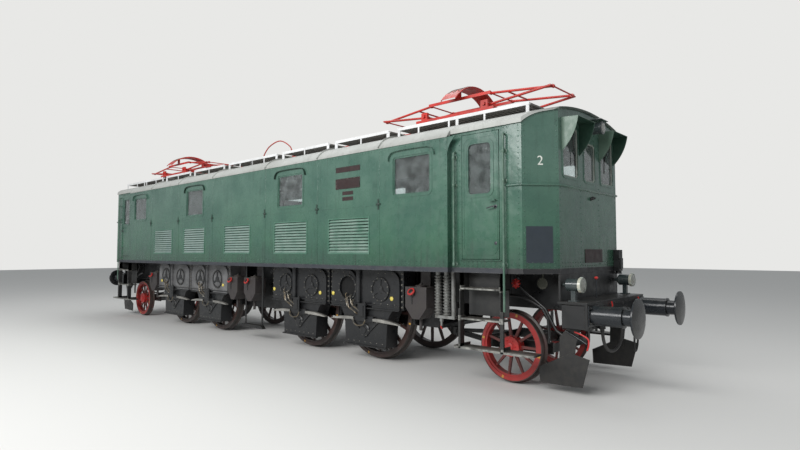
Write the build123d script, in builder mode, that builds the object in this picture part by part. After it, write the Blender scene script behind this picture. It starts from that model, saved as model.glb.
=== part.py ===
from build123d import *
import os
from math import cos, radians, sin

os.makedirs("parts", exist_ok=True)

# Electric locomotive with four driven axles and a pony truck at each end, in millimetres.
# X runs along it with end 2 at +X, Y across it with the gear side at -Y, and Z up from the wheel flange tips.

# Driving dimensions
FLANGE = 28                       # depth of a wheel flange, so the rail top is at this height
BUFFER_FACE = 8150                # half of the length over the buffers
BODY_Y = 1483                     # half width of the body sides
CAB_Y = 1383                      # half width at the cab doors, which stand back from the body sides
BODY_END = 5680                   # where the body sides end and the cab begins
BEVEL_X = 6840                    # where the cab side turns into the slanting corner panel
FRONT_X = 7180                    # the cab front
FRONT_Y = 1000                    # half width of the cab front
WALL = 45                         # sheet, framing and lining of the body and cab walls
DECK_Z = (1603, 1673)             # the deck that carries the body, with its grey edge
FLOOR_Z = (1760, 1785)            # the cab floor
EAVE_Z = 3578                     # top of the body sides
CROWN_Z = 3958                    # top of the roof
BEAM_X = (7520, 7560)             # the buffer beam
BEAM_Z = (1016, 1341)
BEAM_Y = 1250
PLATE_Y = (600, 630)              # the main frame plates, between the wheels
WHEEL_BACK = 680                  # from the middle to the back of a wheel
TYRE_WIDTH = 135
HUB_Y = (665, 825)
DRIVE_R = 820
DRIVE_X = (-3600, -1750, 1750, 3600)
DRIVE_AXLE_R = 95
LEAD_R = 500
LEAD_X = 6300
LEAD_AXLE_R = 75
PIVOT_X = 4750                    # the pony truck's pivot
GEAR_Y = (-835, -1157)            # the gear cases stand outside the wheels on one side only
PAN_X = 5080                      # middle of each pantograph
PAN_SHAFT = 620                   # from there to each main shaft
PAN_ARM = 1090                    # length of every arm between its pivots
PAN_SHAFT_Z = 4258
PAN_REST = 5.8                    # slope of the folded arms, in degrees

DRIVE_Z = FLANGE + DRIVE_R
LEAD_Z = FLANGE + LEAD_R
ENDS = (("1", -1), ("2", 1))
SIDES = (("right", -1), ("left", 1))
QUARTERS = [(end, side) for end in (-1, 1) for side in (-1, 1)]

# Window and grille openings of each body side: middle along X, width, bottom, top, corner radius
SIDE_WINDOWS = (
    (-4983, 765, 2783, 3398, 60),
    (-1890, 790, 2765, 3390, 30),
    (1890, 790, 2765, 3390, 30),
    (4983, 765, 2783, 3398, 60),
)
GRILLE_X = (-3550, -1900, 0, 1900, 3550)
GRILLE_WIDTH = 1045
GRILLE_Z = (1858, 2483)
SLATS = 11

# Cab front windows: middle across, width, bottom, top, corner radius
FRONT_WINDOWS = ((-637, 460, 2932, 3628, 40), (0, 376, 2923, 3488, 60), (637, 460, 2932, 3628, 40))

# Cab doors
DOOR_X = (5871, 6485)
DOOR_Z = (1796, 3576)
DOOR_GAP = 6
LATCH_GAP = 10
DOOR_THICK = 40
DOOR_WINDOW = (6168, 416, 2694, 3450, 80)
HINGE_X = 5865
HINGE_Y = 1320
HINGE_R = 15
HINGE_Z = (1980, 2650, 3320)


def slab(x, y, z, mode=Mode.ADD):
    """A box between two values along each axis."""
    with Locations(((x[0] + x[1]) / 2, (y[0] + y[1]) / 2, (z[0] + z[1]) / 2)):
        Box(abs(x[1] - x[0]), abs(y[1] - y[0]), abs(z[1] - z[0]), mode=mode)


def upright_plate(points, y, mode=Mode.ADD):
    """An outline of x and z points, as a plate between two values of y."""
    with BuildSketch(Plane.XZ.offset(-max(y))) as face:
        with BuildLine():
            Polyline(*points, close=True)
        make_face()
    extrude(face.sketch, amount=max(y) - min(y), mode=mode)


def flat_plate(points, z, mode=Mode.ADD):
    """An outline of x and y points, as a plate between two values of z."""
    with BuildSketch(Plane.XY.offset(min(z))) as face:
        with BuildLine():
            Polyline(*points, close=True)
        make_face()
    extrude(face.sketch, amount=max(z) - min(z), mode=mode)


def rod(start, end, radius, mode=Mode.ADD):
    """A round bar between two points."""
    axis = Vector(*end) - Vector(*start)
    with BuildSketch(Plane(origin=start, z_dir=tuple(axis))) as circle:
        Circle(radius)
    extrude(circle.sketch, amount=axis.length, mode=mode)


def flat_rectangles(rectangles, z, mode=Mode.ADD):
    """Boxes between the same two values of z, each given by its two values of x and of y."""
    with BuildSketch(Plane.XY.offset(min(z))) as faces:
        for x, y in rectangles:
            with Locations(((x[0] + x[1]) / 2, (y[0] + y[1]) / 2)):
                Rectangle(abs(x[1] - x[0]), abs(y[1] - y[0]))
    extrude(faces.sketch, amount=max(z) - min(z), mode=mode)


def side_opening(middle, width, bottom, top, radius, y):
    """A window with round corners, cut across a wall that faces Y."""
    with BuildSketch(Plane.XZ.offset(-max(y))) as window:
        with Locations((middle, (bottom + top) / 2)):
            RectangleRounded(width, top - bottom, radius)
    extrude(window.sketch, amount=max(y) - min(y), mode=Mode.SUBTRACT)


def front_opening(middle, width, bottom, top, radius, x):
    """A window with round corners, cut across a wall that faces X."""
    with BuildSketch(Plane.YZ.offset(min(x))) as window:
        with Locations((middle, (bottom + top) / 2)):
            RectangleRounded(width, top - bottom, radius)
    extrude(window.sketch, amount=max(x) - min(x), mode=Mode.SUBTRACT)


def plan_outline(extra=0):
    """Half of the body's outline seen from above, from end 1 to end 2 at +Y, moved outwards by extra."""
    half = [
        (BODY_END, BODY_Y + extra),
        (BODY_END, CAB_Y + extra),
        (BEVEL_X + extra * 0.4, CAB_Y + extra),
        (FRONT_X + extra, FRONT_Y + extra * 0.4),
    ]
    ahead = [(x, y) for x, y in half] + [(x, -y) for x, y in reversed(half)]
    return ahead + [(-x, y) for x, y in reversed(ahead)]


def write(piece, name):
    """Names a finished piece and writes its file."""
    piece.part.label = name
    export_step(piece.part, f"parts/{name}.step")


# The roof's outline: the crown is one flat arc, and a tighter arc runs down to the eave at each side
CROWN_R = 4676
CROWN_CENTRE = CROWN_Z - CROWN_R
ROOF_THICK = 30
COVE_Y = 1209
EAVE_OUT = BODY_Y + 12
EAVE_IN = BODY_Y - WALL


def crown_z(y, depth=0):
    """Height of the roof sheet at y, on the arc that lies depth below its top."""
    return CROWN_CENTRE + ((CROWN_R - depth) ** 2 - y ** 2) ** 0.5


def roof_line(eave_y, cove_y, depth, bulge):
    """The roof's arcs from the right eave over the crown to the left eave."""
    cove = (cove_y, crown_z(cove_y, depth))
    eave = (eave_y, EAVE_Z)
    middle = ((cove[0] + eave[0]) / 2 + bulge * 0.61, (cove[1] + eave[1]) / 2 + bulge * 0.79)
    ThreePointArc((-eave[0], eave[1]), (-middle[0], middle[1]), (-cove[0], cove[1]))
    ThreePointArc((-cove[0], cove[1]), (0, crown_z(0, depth)), cove)
    ThreePointArc(cove, middle, eave)


# Everything under the roof sheet, which trims the tops of the cab walls
with BuildPart() as under_roof:
    with BuildSketch(Plane.YZ.offset(-FRONT_X - 50)):
        with BuildLine():
            roof_line(EAVE_IN, COVE_Y - 24, ROOF_THICK, 33)
            Polyline((EAVE_IN, EAVE_Z), (EAVE_IN, 1000), (-EAVE_IN, 1000), (-EAVE_IN, EAVE_Z))
        make_face()
    extrude(amount=2 * FRONT_X + 100)

with BuildPart() as roof:
    with BuildSketch(Plane.YZ.offset(-FRONT_X - 50)):
        with BuildLine():
            roof_line(EAVE_OUT, COVE_Y, 0, 39)
            Line((EAVE_OUT, EAVE_Z), (-EAVE_OUT, EAVE_Z))
        make_face()
    extrude(amount=2 * FRONT_X + 100)
    add(under_roof.part, mode=Mode.SUBTRACT)
    with BuildSketch(Plane.XY.offset(3000)):
        with BuildLine():
            Polyline(*plan_outline(25), close=True)
        make_face()
    extrude(amount=1200, mode=Mode.INTERSECT)
write(roof, "roof")

# Deck with wheel wells, motor openings and the hangers of the gear cases
WELL_X = 400
WELL_Y = (660, 835)
WELL_TOP = (1705, 1720)
MOTOR_R = 600
MOTOR_Z = 1560
MOTOR_Y = 560
GEAR_TOP = 1588
with BuildPart() as platform:
    flat_plate(plan_outline(), DECK_Z)
    for x in DRIVE_X:
        slab((x - MOTOR_R - 10, x + MOTOR_R + 10), (-MOTOR_Y - 5, MOTOR_Y + 5), DECK_Z, mode=Mode.SUBTRACT)
        for side in (-1, 1):
            well = (side * WELL_Y[0], side * WELL_Y[1])
            slab((x - WELL_X - 15, x + WELL_X + 15), (well[0] - side * 15, well[1] + side * 15),
                 (DECK_Z[1], WELL_TOP[1]))
            slab((x - WELL_X, x + WELL_X), well, (DECK_Z[0], WELL_TOP[0]), mode=Mode.SUBTRACT)
        for offset in (-600, 600):
            slab((x + offset - 60, x + offset + 60), (-1130, -870), (GEAR_TOP, DECK_Z[0]))
write(platform, "platform")

# Footplate ahead of each cab, with the upright apron behind it
FOOTPLATE_Z = (1306, 1318)
with BuildPart() as front_platforms:
    for end in (-1, 1):
        slab((end * (FRONT_X - 30), end * BEAM_X[0]), (-BEAM_Y, BEAM_Y), FOOTPLATE_Z)
        slab((end * (FRONT_X - 30), end * FRONT_X), (-FRONT_Y, FRONT_Y), (FOOTPLATE_Z[1], DECK_Z[0]))
write(front_platforms, "front_platforms")

# Main frame: two long plates with a slot for each driven axle, raised over the pony trucks
PLATE_BOTTOM = 640
RAISED = 1085
SLOT = 130
SLOT_TOP = 1010
plate_half = [
    (0, DECK_Z[0]),
    (FRONT_X - 40, DECK_Z[0]),
    (FRONT_X - 40, BEAM_Z[1] - 35),
    (BEAM_X[0], BEAM_Z[1] - 35),
    (BEAM_X[0], RAISED),
    (5000, RAISED),
    (4850, PLATE_BOTTOM),
    (0, PLATE_BOTTOM),
]
plate_outline = plate_half + [(-x, z) for x, z in reversed(plate_half[1:-1])]
with BuildPart() as frame_plates:
    for side in (-1, 1):
        upright_plate(plate_outline, (side * PLATE_Y[0], side * PLATE_Y[1]))
        for x in DRIVE_X:
            y = (side * PLATE_Y[0], side * PLATE_Y[1])
            slab((x - SLOT, x + SLOT), y, (PLATE_BOTTOM, SLOT_TOP), mode=Mode.SUBTRACT)
            slab((x - 190, x + 190), y, (PLATE_BOTTOM - 40, PLATE_BOTTOM))
write(frame_plates, "frame_plates")

# Stretchers between the plates: three plain ones, and at each end one with the pony truck's pivot and one ahead
MIDDLE = (-PLATE_Y[0], PLATE_Y[0])
with BuildPart() as frame_stretchers:
    for x in (-2675, 0, 2675):
        slab((x - 15, x + 15), MIDDLE, (PLATE_BOTTOM + 20, DECK_Z[0] - 20))
    for end in (-1, 1):
        pivot = end * PIVOT_X
        slab((end * 4585, end * 4615), MIDDLE, (PLATE_BOTTOM, DECK_Z[0] - 20))
        slab((pivot - 150, pivot + 150), MIDDLE, (PLATE_BOTTOM, PLATE_BOTTOM + 60))
        rod((pivot, 0, 440), (pivot, 0, PLATE_BOTTOM), 40)
        slab((end * 6950, end * 6980), MIDDLE, (RAISED, DECK_Z[0] - 20))
write(frame_stretchers, "frame_stretchers")

with BuildPart() as axle_boxes:
    for x in DRIVE_X:
        for side in (-1, 1):
            y = (side * 575, side * 655)
            slab((x - SLOT, x + SLOT), y, (PLATE_BOTTOM + 60, SLOT_TOP))
            rod((x, y[0], DRIVE_Z), (x, y[1], DRIVE_Z), DRIVE_AXLE_R + 2, mode=Mode.SUBTRACT)
write(axle_boxes, "axle_boxes")

# Body sides with their window and grille openings
for side_name, side in SIDES:
    inner = side * (BODY_Y - WALL)
    outer = side * BODY_Y
    with BuildPart() as body_side:
        slab((-BODY_END, BODY_END), (inner, outer), (DECK_Z[1], EAVE_Z))
        for end in (-1, 1):
            slab((end * (BODY_END - WALL), end * BODY_END), (side * (CAB_Y - WALL), inner), (DECK_Z[1], EAVE_Z))
        for window in SIDE_WINDOWS:
            side_opening(*window, (inner - side * 5, outer + side * 5))
        for x in GRILLE_X:
            slab((x - GRILLE_WIDTH / 2, x + GRILLE_WIDTH / 2), (inner, outer), GRILLE_Z, mode=Mode.SUBTRACT)
    write(body_side, f"body_side_{side_name}")

# Grilles: a frame in each opening, with slats that slope outwards and down
SLAT_PITCH = (GRILLE_Z[1] - GRILLE_Z[0] - 40) / SLATS
with BuildPart() as one_grille:
    half = GRILLE_WIDTH / 2
    slab((-half, half), (BODY_Y - 35, BODY_Y + 8), GRILLE_Z)
    slab((20 - half, half - 20), (BODY_Y - 35, BODY_Y + 8), (GRILLE_Z[0] + 20, GRILLE_Z[1] - 20), mode=Mode.SUBTRACT)
    with BuildSketch(Plane.YZ.offset(20 - half)) as slats:
        for row in range(SLATS):
            z = GRILLE_Z[0] + 20 + SLAT_PITCH * row
            with BuildLine():
                Polyline(
                    (BODY_Y + 6, z + 4),
                    (BODY_Y + 6, z + 10),
                    (BODY_Y - 30, z + SLAT_PITCH - 4),
                    (BODY_Y - 30, z + SLAT_PITCH - 10),
                    close=True,
                )
            make_face()
    extrude(slats.sketch, amount=GRILLE_WIDTH - 40)
left_grilles = [Pos(x, 0, 0) * one_grille.part for x in GRILLE_X]
right_grilles = [Rot(0, 0, 180) * grille for grille in left_grilles]
with BuildPart() as grilles:
    add(left_grilles + right_grilles)
write(grilles, "grilles")

# Cabs: hollow shells with the door and window openings cut
for end_name, end in ENDS:
    with BuildPart() as cab_shell:
        cab_plan = [(end * x, y) for x, y in plan_outline()[1:7]]
        inner_plan = [
            (end * (BODY_END + WALL), CAB_Y - WALL),
            (end * (BEVEL_X - 20), CAB_Y - WALL),
            (end * (FRONT_X - WALL), FRONT_Y - 20),
            (end * (FRONT_X - WALL), -FRONT_Y + 20),
            (end * (BEVEL_X - 20), -CAB_Y + WALL),
            (end * (BODY_END + WALL), -CAB_Y + WALL),
        ]
        flat_plate(cab_plan, (DECK_Z[1], 4100))
        flat_plate(inner_plan, (DECK_Z[1], FLOOR_Z[0]), mode=Mode.SUBTRACT)
        flat_plate(inner_plan, (FLOOR_Z[1], 4100), mode=Mode.SUBTRACT)
        add(under_roof.part, mode=Mode.INTERSECT)
        for window in FRONT_WINDOWS:
            front_opening(*window, (end * (FRONT_X - WALL - 5), end * (FRONT_X + 5)))
        for side in (-1, 1):
            slab((end * (DOOR_X[0] - DOOR_GAP), end * (DOOR_X[1] + LATCH_GAP)),
                 (side * (CAB_Y - WALL - 5), side * (CAB_Y + 5)),
                 (DOOR_Z[0] - DOOR_GAP, DOOR_Z[1] + DOOR_GAP), mode=Mode.SUBTRACT)
            for z in HINGE_Z:
                pin = (end * HINGE_X, side * HINGE_Y)
                slab((end * (HINGE_X - 80), end * HINGE_X), (side * (CAB_Y - WALL), side * (HINGE_Y - 5)),
                     (z + 32, z + 92))
                rod((*pin, z + 32), (*pin, z + 92), HINGE_R)
    write(cab_shell, f"cab_shell_{end_name}")

    for side_name, side in SIDES:
        with BuildPart() as cab_door:
            leaf = (side * (CAB_Y - DOOR_THICK), side * CAB_Y)
            slab((end * DOOR_X[0], end * DOOR_X[1]), leaf, DOOR_Z)
            middle, width, bottom, top, radius = DOOR_WINDOW
            side_opening(end * middle, width, bottom, top, radius, leaf)
            for z in HINGE_Z:
                pin = (end * HINGE_X, side * HINGE_Y)
                slab((end * HINGE_X, end * (HINGE_X + 110)), (leaf[0], side * (HINGE_Y - 5)), (z - 30, z + 30))
                rod((*pin, z - 30), (*pin, z + 30), HINGE_R)
            rod((end * 6440, side * CAB_Y, 2610), (end * 6440, side * (CAB_Y + 45), 2610), 14)
            slab((end * 6350, end * 6455), (side * (CAB_Y + 45), side * (CAB_Y + 60)), (2598, 2622))
        write(cab_door, f"cab_door_{end_name}_{side_name}")

# Glass of the body sides and of the cab fronts
with BuildPart() as window_glass:
    for side in (-1, 1):
        for middle, width, bottom, top, radius in SIDE_WINDOWS:
            with BuildSketch(Plane.XZ.offset(-side * (BODY_Y - 23))) as pane:
                with Locations((middle, (bottom + top) / 2)):
                    RectangleRounded(width, top - bottom, radius)
            extrude(pane.sketch, amount=3, both=True)
    for end in (-1, 1):
        for middle, width, bottom, top, radius in FRONT_WINDOWS:
            with BuildSketch(Plane.YZ.offset(end * (FRONT_X - 23))) as pane:
                with Locations((middle, (bottom + top) / 2)):
                    RectangleRounded(width, top - bottom, radius)
            extrude(pane.sketch, amount=3, both=True)
write(window_glass, "window_glass")

# Wheelsets: spoked wheels with a flanged tyre, and the axle between them, seated with a small fit gap
FIT_GAP = 0.3
SEAT_DEPTH = 80
AXLE_END = 4
TYRE_THICK = 60
RIM_THICK = 35
RIM_INSET = 12


def wheelset(name, x, z, radius, axle_radius, hub_radius, spokes, spoke_widths):
    """Two wheels and their axle: the spokes taper from the first width at the hub to the second at the rim."""
    tread = radius - TYRE_THICK
    rim = tread - RIM_THICK
    centre = Plane(origin=(x, 0, z), x_dir=(0, 1, 0), z_dir=(1, 0, 0))
    axle_line = Axis((x, 0, z), (0, 1, 0))
    with BuildPart() as wheels:
        for side in (-1, 1):
            back = side * WHEEL_BACK
            with BuildSketch(centre) as tyre:
                with BuildLine():
                    Polyline(
                        (back, tread),
                        (back + side * 4, radius + FLANGE),
                        (back + side * 24, radius + FLANGE),
                        (back + side * 36, radius),
                        (back + side * TYRE_WIDTH, radius),
                        (back + side * TYRE_WIDTH, tread),
                        (back + side * (TYRE_WIDTH - RIM_INSET), tread),
                        (back + side * (TYRE_WIDTH - RIM_INSET), rim),
                        (back + side * RIM_INSET, rim),
                        (back + side * RIM_INSET, tread),
                        close=True,
                    )
                make_face()
            revolve(tyre.sketch, axis=axle_line)
            seat = side * (HUB_Y[0] + SEAT_DEPTH)
            rod((x, side * HUB_Y[0], z), (x, side * HUB_Y[1], z), hub_radius)
            rod((x, side * HUB_Y[0], z), (x, seat, z), axle_radius + FIT_GAP, mode=Mode.SUBTRACT)
            rod((x, side * HUB_Y[1], z), (x, side * (HUB_Y[1] + AXLE_END), z), axle_radius)
            middle = side * (WHEEL_BACK + TYRE_WIDTH / 2)
            inner, outer = spoke_widths
            start, stop = hub_radius - 10, rim + 10
            with BuildSketch(Plane(origin=(x, middle, z), x_dir=(1, 0, 0), z_dir=(0, -1, 0))) as spoke_face:
                with PolarLocations(0, spokes):
                    Polygon(
                        (start, -inner / 2), (stop, -outer / 2), (stop, outer / 2), (start, inner / 2), align=None
                    )
            extrude(spoke_face.sketch, amount=18, both=True)
        end_y = HUB_Y[0] + SEAT_DEPTH - FIT_GAP
        rod((x, -end_y, z), (x, end_y, z), axle_radius)
    write(wheels, name)


for number, x in enumerate(DRIVE_X, start=1):
    wheelset(f"drive_wheelset_{number}", x, DRIVE_Z, DRIVE_R, DRIVE_AXLE_R, 190, 16, (62, 46))
for end_name, end in ENDS:
    wheelset(f"lead_wheelset_{end_name}", end * LEAD_X, LEAD_Z, LEAD_R, LEAD_AXLE_R, 145, 11, (42, 30))

# Pony trucks: an A-shaped frame from the pivot to the bearings of the leading axle
TRUCK_Y = (545, 575)
TRUCK_Z = (448, 608)
for end_name, end in ENDS:
    with BuildPart() as lead_truck:
        for side in (-1, 1):
            y = (side * TRUCK_Y[0], side * TRUCK_Y[1])
            slab((end * 5650, end * 6850), y, TRUCK_Z)
            arm = [
                (end * (PIVOT_X + 60), side * 30),
                (end * (PIVOT_X + 60), side * 110),
                (end * 5700, side * TRUCK_Y[1]),
                (end * 5700, side * (TRUCK_Y[0] - 90)),
            ]
            flat_plate(arm, (500, 560))
        for x in (5650, 6820):
            slab((end * x, end * (x + 30)), (-TRUCK_Y[0], TRUCK_Y[0]), (470, 590))
        rod((end * PIVOT_X, 0, 480), (end * PIVOT_X, 0, 600), 110)
        rod((end * PIVOT_X, 0, 470), (end * PIVOT_X, 0, 610), 42, mode=Mode.SUBTRACT)
        rod((end * LEAD_X, -600, LEAD_Z), (end * LEAD_X, 600, LEAD_Z), LEAD_AXLE_R + 2, mode=Mode.SUBTRACT)
    write(lead_truck, f"lead_truck_{end_name}")

# Heavy masses closed inside: the four motors stand between the frame plates, the transformer on the deck
with BuildPart() as traction_motors:
    for x in DRIVE_X:
        rod((x, -MOTOR_Y, MOTOR_Z), (x, MOTOR_Y, MOTOR_Z), MOTOR_R)
        slab((x - 680, x + 680), (-PLATE_Y[0], PLATE_Y[0]), (1480, 1560))
write(traction_motors, "traction_motors")

with BuildPart() as transformer:
    slab((-900, 900), (-900, 900), (DECK_Z[1], 3000))
write(transformer, "transformer")

# Gear cases outside the driving wheels, with two round covers and a tapering lower half
GEAR_UPPER_Z = (938, GEAR_TOP)
with BuildPart() as gear_cases:
    for x in DRIVE_X:
        upper = [
            (x - 880, GEAR_UPPER_Z[0]),
            (x - 880, GEAR_TOP - 130),
            (x - 750, GEAR_TOP),
            (x + 750, GEAR_TOP),
            (x + 880, GEAR_TOP - 130),
            (x + 880, GEAR_UPPER_Z[0]),
        ]
        lower = [
            (x - 680, GEAR_UPPER_Z[0]),
            (x - 500, 268),
            (x + 500, 268),
            (x + 680, GEAR_UPPER_Z[0]),
        ]
        upright_plate(upper, (GEAR_Y[0], GEAR_Y[1]))
        upright_plate(lower, (GEAR_Y[0], GEAR_Y[1] + 30))
        for offset in (-400, 400):
            rod((x + offset, GEAR_Y[1], 1248), (x + offset, GEAR_Y[1] - 30, 1248), 210)
        rod((x, GEAR_Y[1] + 30, 528), (x, GEAR_Y[1] - 30, 528), 120)
        slab((x - 800, x + 800), (GEAR_Y[1], GEAR_Y[1] - 40), (735, 775))
        slab((x - 250, x + 250), (GEAR_Y[1] + 30, GEAR_Y[1] - 40), (700, 810))
write(gear_cases, "gear_cases")

# Buffer beams, buffers and drawhooks
with BuildPart() as buffer_beams:
    for end in (-1, 1):
        slab((end * BEAM_X[0], end * BEAM_X[1]), (-BEAM_Y, BEAM_Y), BEAM_Z)
write(buffer_beams, "buffer_beams")

BUFFER_Y = 875
BUFFER_Z = 1078
with BuildPart() as buffers:
    for end, side in QUARTERS:
        steps = ((BEAM_X[1], 7600, 170), (7600, 7900, 130), (7900, 8110, 90), (8110, BUFFER_FACE, 245))
        for start, stop, radius in steps:
            rod((end * start, side * BUFFER_Y, BUFFER_Z), (end * stop, side * BUFFER_Y, BUFFER_Z), radius)
write(buffers, "buffers")

with BuildPart() as drawhooks:
    for end in (-1, 1):
        hook = [
            (end * BEAM_X[1], BUFFER_Z - 40),
            (end * 7760, BUFFER_Z - 70),
            (end * 7850, BUFFER_Z - 20),
            (end * 7850, BUFFER_Z + 70),
            (end * 7800, BUFFER_Z + 70),
            (end * 7790, BUFFER_Z + 10),
            (end * 7740, BUFFER_Z - 5),
            (end * 7700, BUFFER_Z + 50),
            (end * BEAM_X[1], BUFFER_Z + 40),
        ]
        upright_plate(hook, (-30, 30))
write(drawhooks, "drawhooks")

# Rail guards at the corners, ahead of the leading wheels, on a bracket down from the front platform
with BuildPart() as rail_guards:
    for end, side in QUARTERS:
        blade = [
            (end * 6800, 328),
            (end * 6810, 110),
            (end * 7415, 130),
            (end * 7444, 237),
            (end * 7515, 502),
            (end * 7259, 560),
        ]
        upright_plate(blade, (side * 885, side * 897))
        bracket = [(end * 7270, 400), (end * 7400, 400), (end * 7480, 1306), (end * 7330, 1306)]
        upright_plate(bracket, (side * 873, side * 885))
write(rail_guards, "rail_guards")

# Steps to the cab doors: two side plates carry the treads, and a long board runs under them
with BuildPart() as cab_steps:
    for end, side in QUARTERS:
        for x in (5850, 6515):
            slab((end * x, end * (x + 12)), (side * 1180, side * 1434), (528, DECK_Z[0]))
        for z in (963, 1388):
            slab((end * 5850, end * 6527), (side * 1180, side * 1434), (z - 25, z))
        slab((end * 5710, end * 6990), (side * 1180, side * 1434), (528, 558))
write(cab_steps, "cab_steps")

# Sandboxes with a tapering foot, hung from the deck: middle along X, side and half width
SANDBOXES = ((-4800, -1, 220), (4800, -1, 220), (-655, -1, 190), (30, -1, 220), (-4800, 1, 220), (4800, 1, 220))
with BuildPart() as sandboxes:
    for x, side, half in SANDBOXES:
        body = [(x - half, 1010), (x - half, 1338), (x + half, 1338), (x + half, 1010), (x + 70, 828), (x - 70, 828)]
        upright_plate(body, (side * 900, side * 1170))
        slab((x - 100, x + 100), (side * 900, side * 920), (1338, DECK_Z[0]))
write(sandboxes, "sandboxes")

# Cooling pipes of the compressor, hung from the deck on the gear side
with BuildPart() as cooling_pipes:
    for x, radius in ((5210, 62), (5374, 62), (5500, 35)):
        rod((x, -1100, 885), (x, -1100, DECK_Z[0]), radius)
    slab((5190, 5520), (-1130, -1070), (885, 925))
write(cooling_pipes, "cooling_pipes")

with BuildPart() as air_reservoirs:
    for x in (-800, 800):
        rod((x - 600, 1120, 1300), (x + 600, 1120, 1300), 190)
        for strap in (-450, 450):
            slab((x + strap - 25, x + strap + 25), (1100, 1140), (1480, DECK_Z[0]))
write(air_reservoirs, "air_reservoirs")

# Brake blocks on both sides of each driving wheel, on hangers from the deck
BLOCK_GAP = 6
BLOCK_THICK = 50
with BuildPart() as brake_gear:
    for x in DRIVE_X:
        for side in (-1, 1):
            for way in (-1, 1):
                near = DRIVE_R + BLOCK_GAP
                far = near + BLOCK_THICK
                reach = near * sin(radians(12))
                shoe = near * cos(radians(12))
                with BuildSketch(Plane.XZ.offset(-max(side * 722, side * 802))) as block:
                    with BuildLine():
                        ThreePointArc(
                            (x + way * shoe, DRIVE_Z - reach),
                            (x + way * near, DRIVE_Z),
                            (x + way * shoe, DRIVE_Z + reach),
                        )
                        Polyline(
                            (x + way * shoe, DRIVE_Z + reach),
                            (x + way * far, DRIVE_Z + reach),
                            (x + way * far, DRIVE_Z - reach),
                            (x + way * shoe, DRIVE_Z - reach),
                        )
                    make_face()
                extrude(block.sketch, amount=80)
                slab((x + way * far, x + way * (far + 20)), (side * 740, side * 780), (DRIVE_Z - 100, DECK_Z[0]))
write(brake_gear, "brake_gear")

# Handrails beside the cab doors
with BuildPart() as handrails:
    for end, side in QUARTERS:
        for x, bottom, top in ((5760, 1700, 2930), (6590, 1092, 2930)):
            y = side * (CAB_Y + 55)
            rod((end * x, y, bottom), (end * x, y, top), 16)
            for z in (1720, 2860):
                rod((end * x, side * CAB_Y, z), (end * x, y, z), 12)
write(handrails, "handrails")

# Lamps: one over the middle window and two on the front platform at each end
LAMP_Y = 1110
LAMP_Z = 1476
TOP_LAMP_Z = 3700
with BuildPart() as headlamps:
    for end in (-1, 1):
        rod((end * FRONT_X, 0, TOP_LAMP_Z), (end * 7390, 0, TOP_LAMP_Z), 95)
        for side in (-1, 1):
            rod((end * 7360, side * LAMP_Y, LAMP_Z), (end * 7546, side * LAMP_Y, LAMP_Z), 105)
            slab((end * 7420, end * 7480), (side * (LAMP_Y - 40), side * (LAMP_Y + 40)), (1318, LAMP_Z - 80))
write(headlamps, "headlamps")

with BuildPart() as lamp_lenses:
    for end in (-1, 1):
        rod((end * 7390, 0, TOP_LAMP_Z), (end * 7402, 0, TOP_LAMP_Z), 88)
        for side in (-1, 1):
            rod((end * 7546, side * LAMP_Y, LAMP_Z), (end * 7558, side * LAMP_Y, LAMP_Z), 95)
write(lamp_lenses, "lamp_lenses")

# Sunshades over the outer front windows: a sloping hood between two cheeks
with BuildPart() as sunshades:
    for end, side in QUARTERS:
        hood = [(end * FRONT_X, 3780), (end * 7400, 3640), (end * 7400, 3628), (end * FRONT_X, 3768)]
        cheek = [(end * FRONT_X, 3780), (end * 7400, 3640), (end * FRONT_X, 3600)]
        upright_plate(hood, (side * 392, side * 882))
        upright_plate(cheek, (side * 392, side * 400))
        upright_plate(cheek, (side * 874, side * 882))
write(sunshades, "sunshades")

# Control desk and handwheel in each cab
with BuildPart() as cab_controls:
    for end in (-1, 1):
        slab((end * 6850, end * (FRONT_X - WALL)), (-850, 850), (FLOOR_Z[1], 2600))
        rod((end * 6940, -620, 2600), (end * 6940, -620, 2780), 30)
        rod((end * 6940, -620, 2780), (end * 6940, -620, 2810), 170)
write(cab_controls, "cab_controls")

# Roof walkways in sections between the roof seams: first and last X of each
WALK_Y = (1135, 700)
WALK_TOP = 3950
WALK_SECTIONS = ((-6830, -4380), (-4180, -2810), (-2610, -1150), (-950, 950), (1150, 2610), (2810, 4180), (4380, 6830))
walk_boards = []
walk_edges = []
walk_posts = []
for side in (-1, 1):
    outer, inner = side * WALK_Y[0], side * WALK_Y[1]
    for start, stop in WALK_SECTIONS:
        walk_boards.append(((start, stop), (outer, inner)))
        walk_edges.append(((start, stop), (outer, outer + side * 6)))
        posts = 2 if stop - start < 1500 else 3
        for number in range(posts):
            x = start + 30 + (stop - start - 60) * number / (posts - 1)
            walk_posts.append(((x - 25, x + 25), (outer, outer - side * 12)))
            walk_posts.append(((x - 25, x + 25), (inner, inner + side * 12)))
with BuildPart() as roof_walkways:
    flat_rectangles(walk_boards, (WALK_TOP - 25, WALK_TOP))
    flat_rectangles(walk_edges, (WALK_TOP - 35, WALK_TOP + 15))
    flat_rectangles(walk_posts, (crown_z(WALK_Y[0]) - 10, WALK_TOP - 25))
    add([roof.part, under_roof.part], mode=Mode.SUBTRACT)
write(roof_walkways, "roof_walkways")

# High-voltage line along the middle of the roof, on insulators
LINE_Z = 4150
with BuildPart() as roof_line_part:
    rod((-4200, 0, LINE_Z), (4200, 0, LINE_Z), 18)
    for x in (-3500, -1750, 0, 1750, 3500):
        rod((x, 0, CROWN_Z), (x, 0, LINE_Z), 45)
write(roof_line_part, "roof_power_line")

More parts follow.
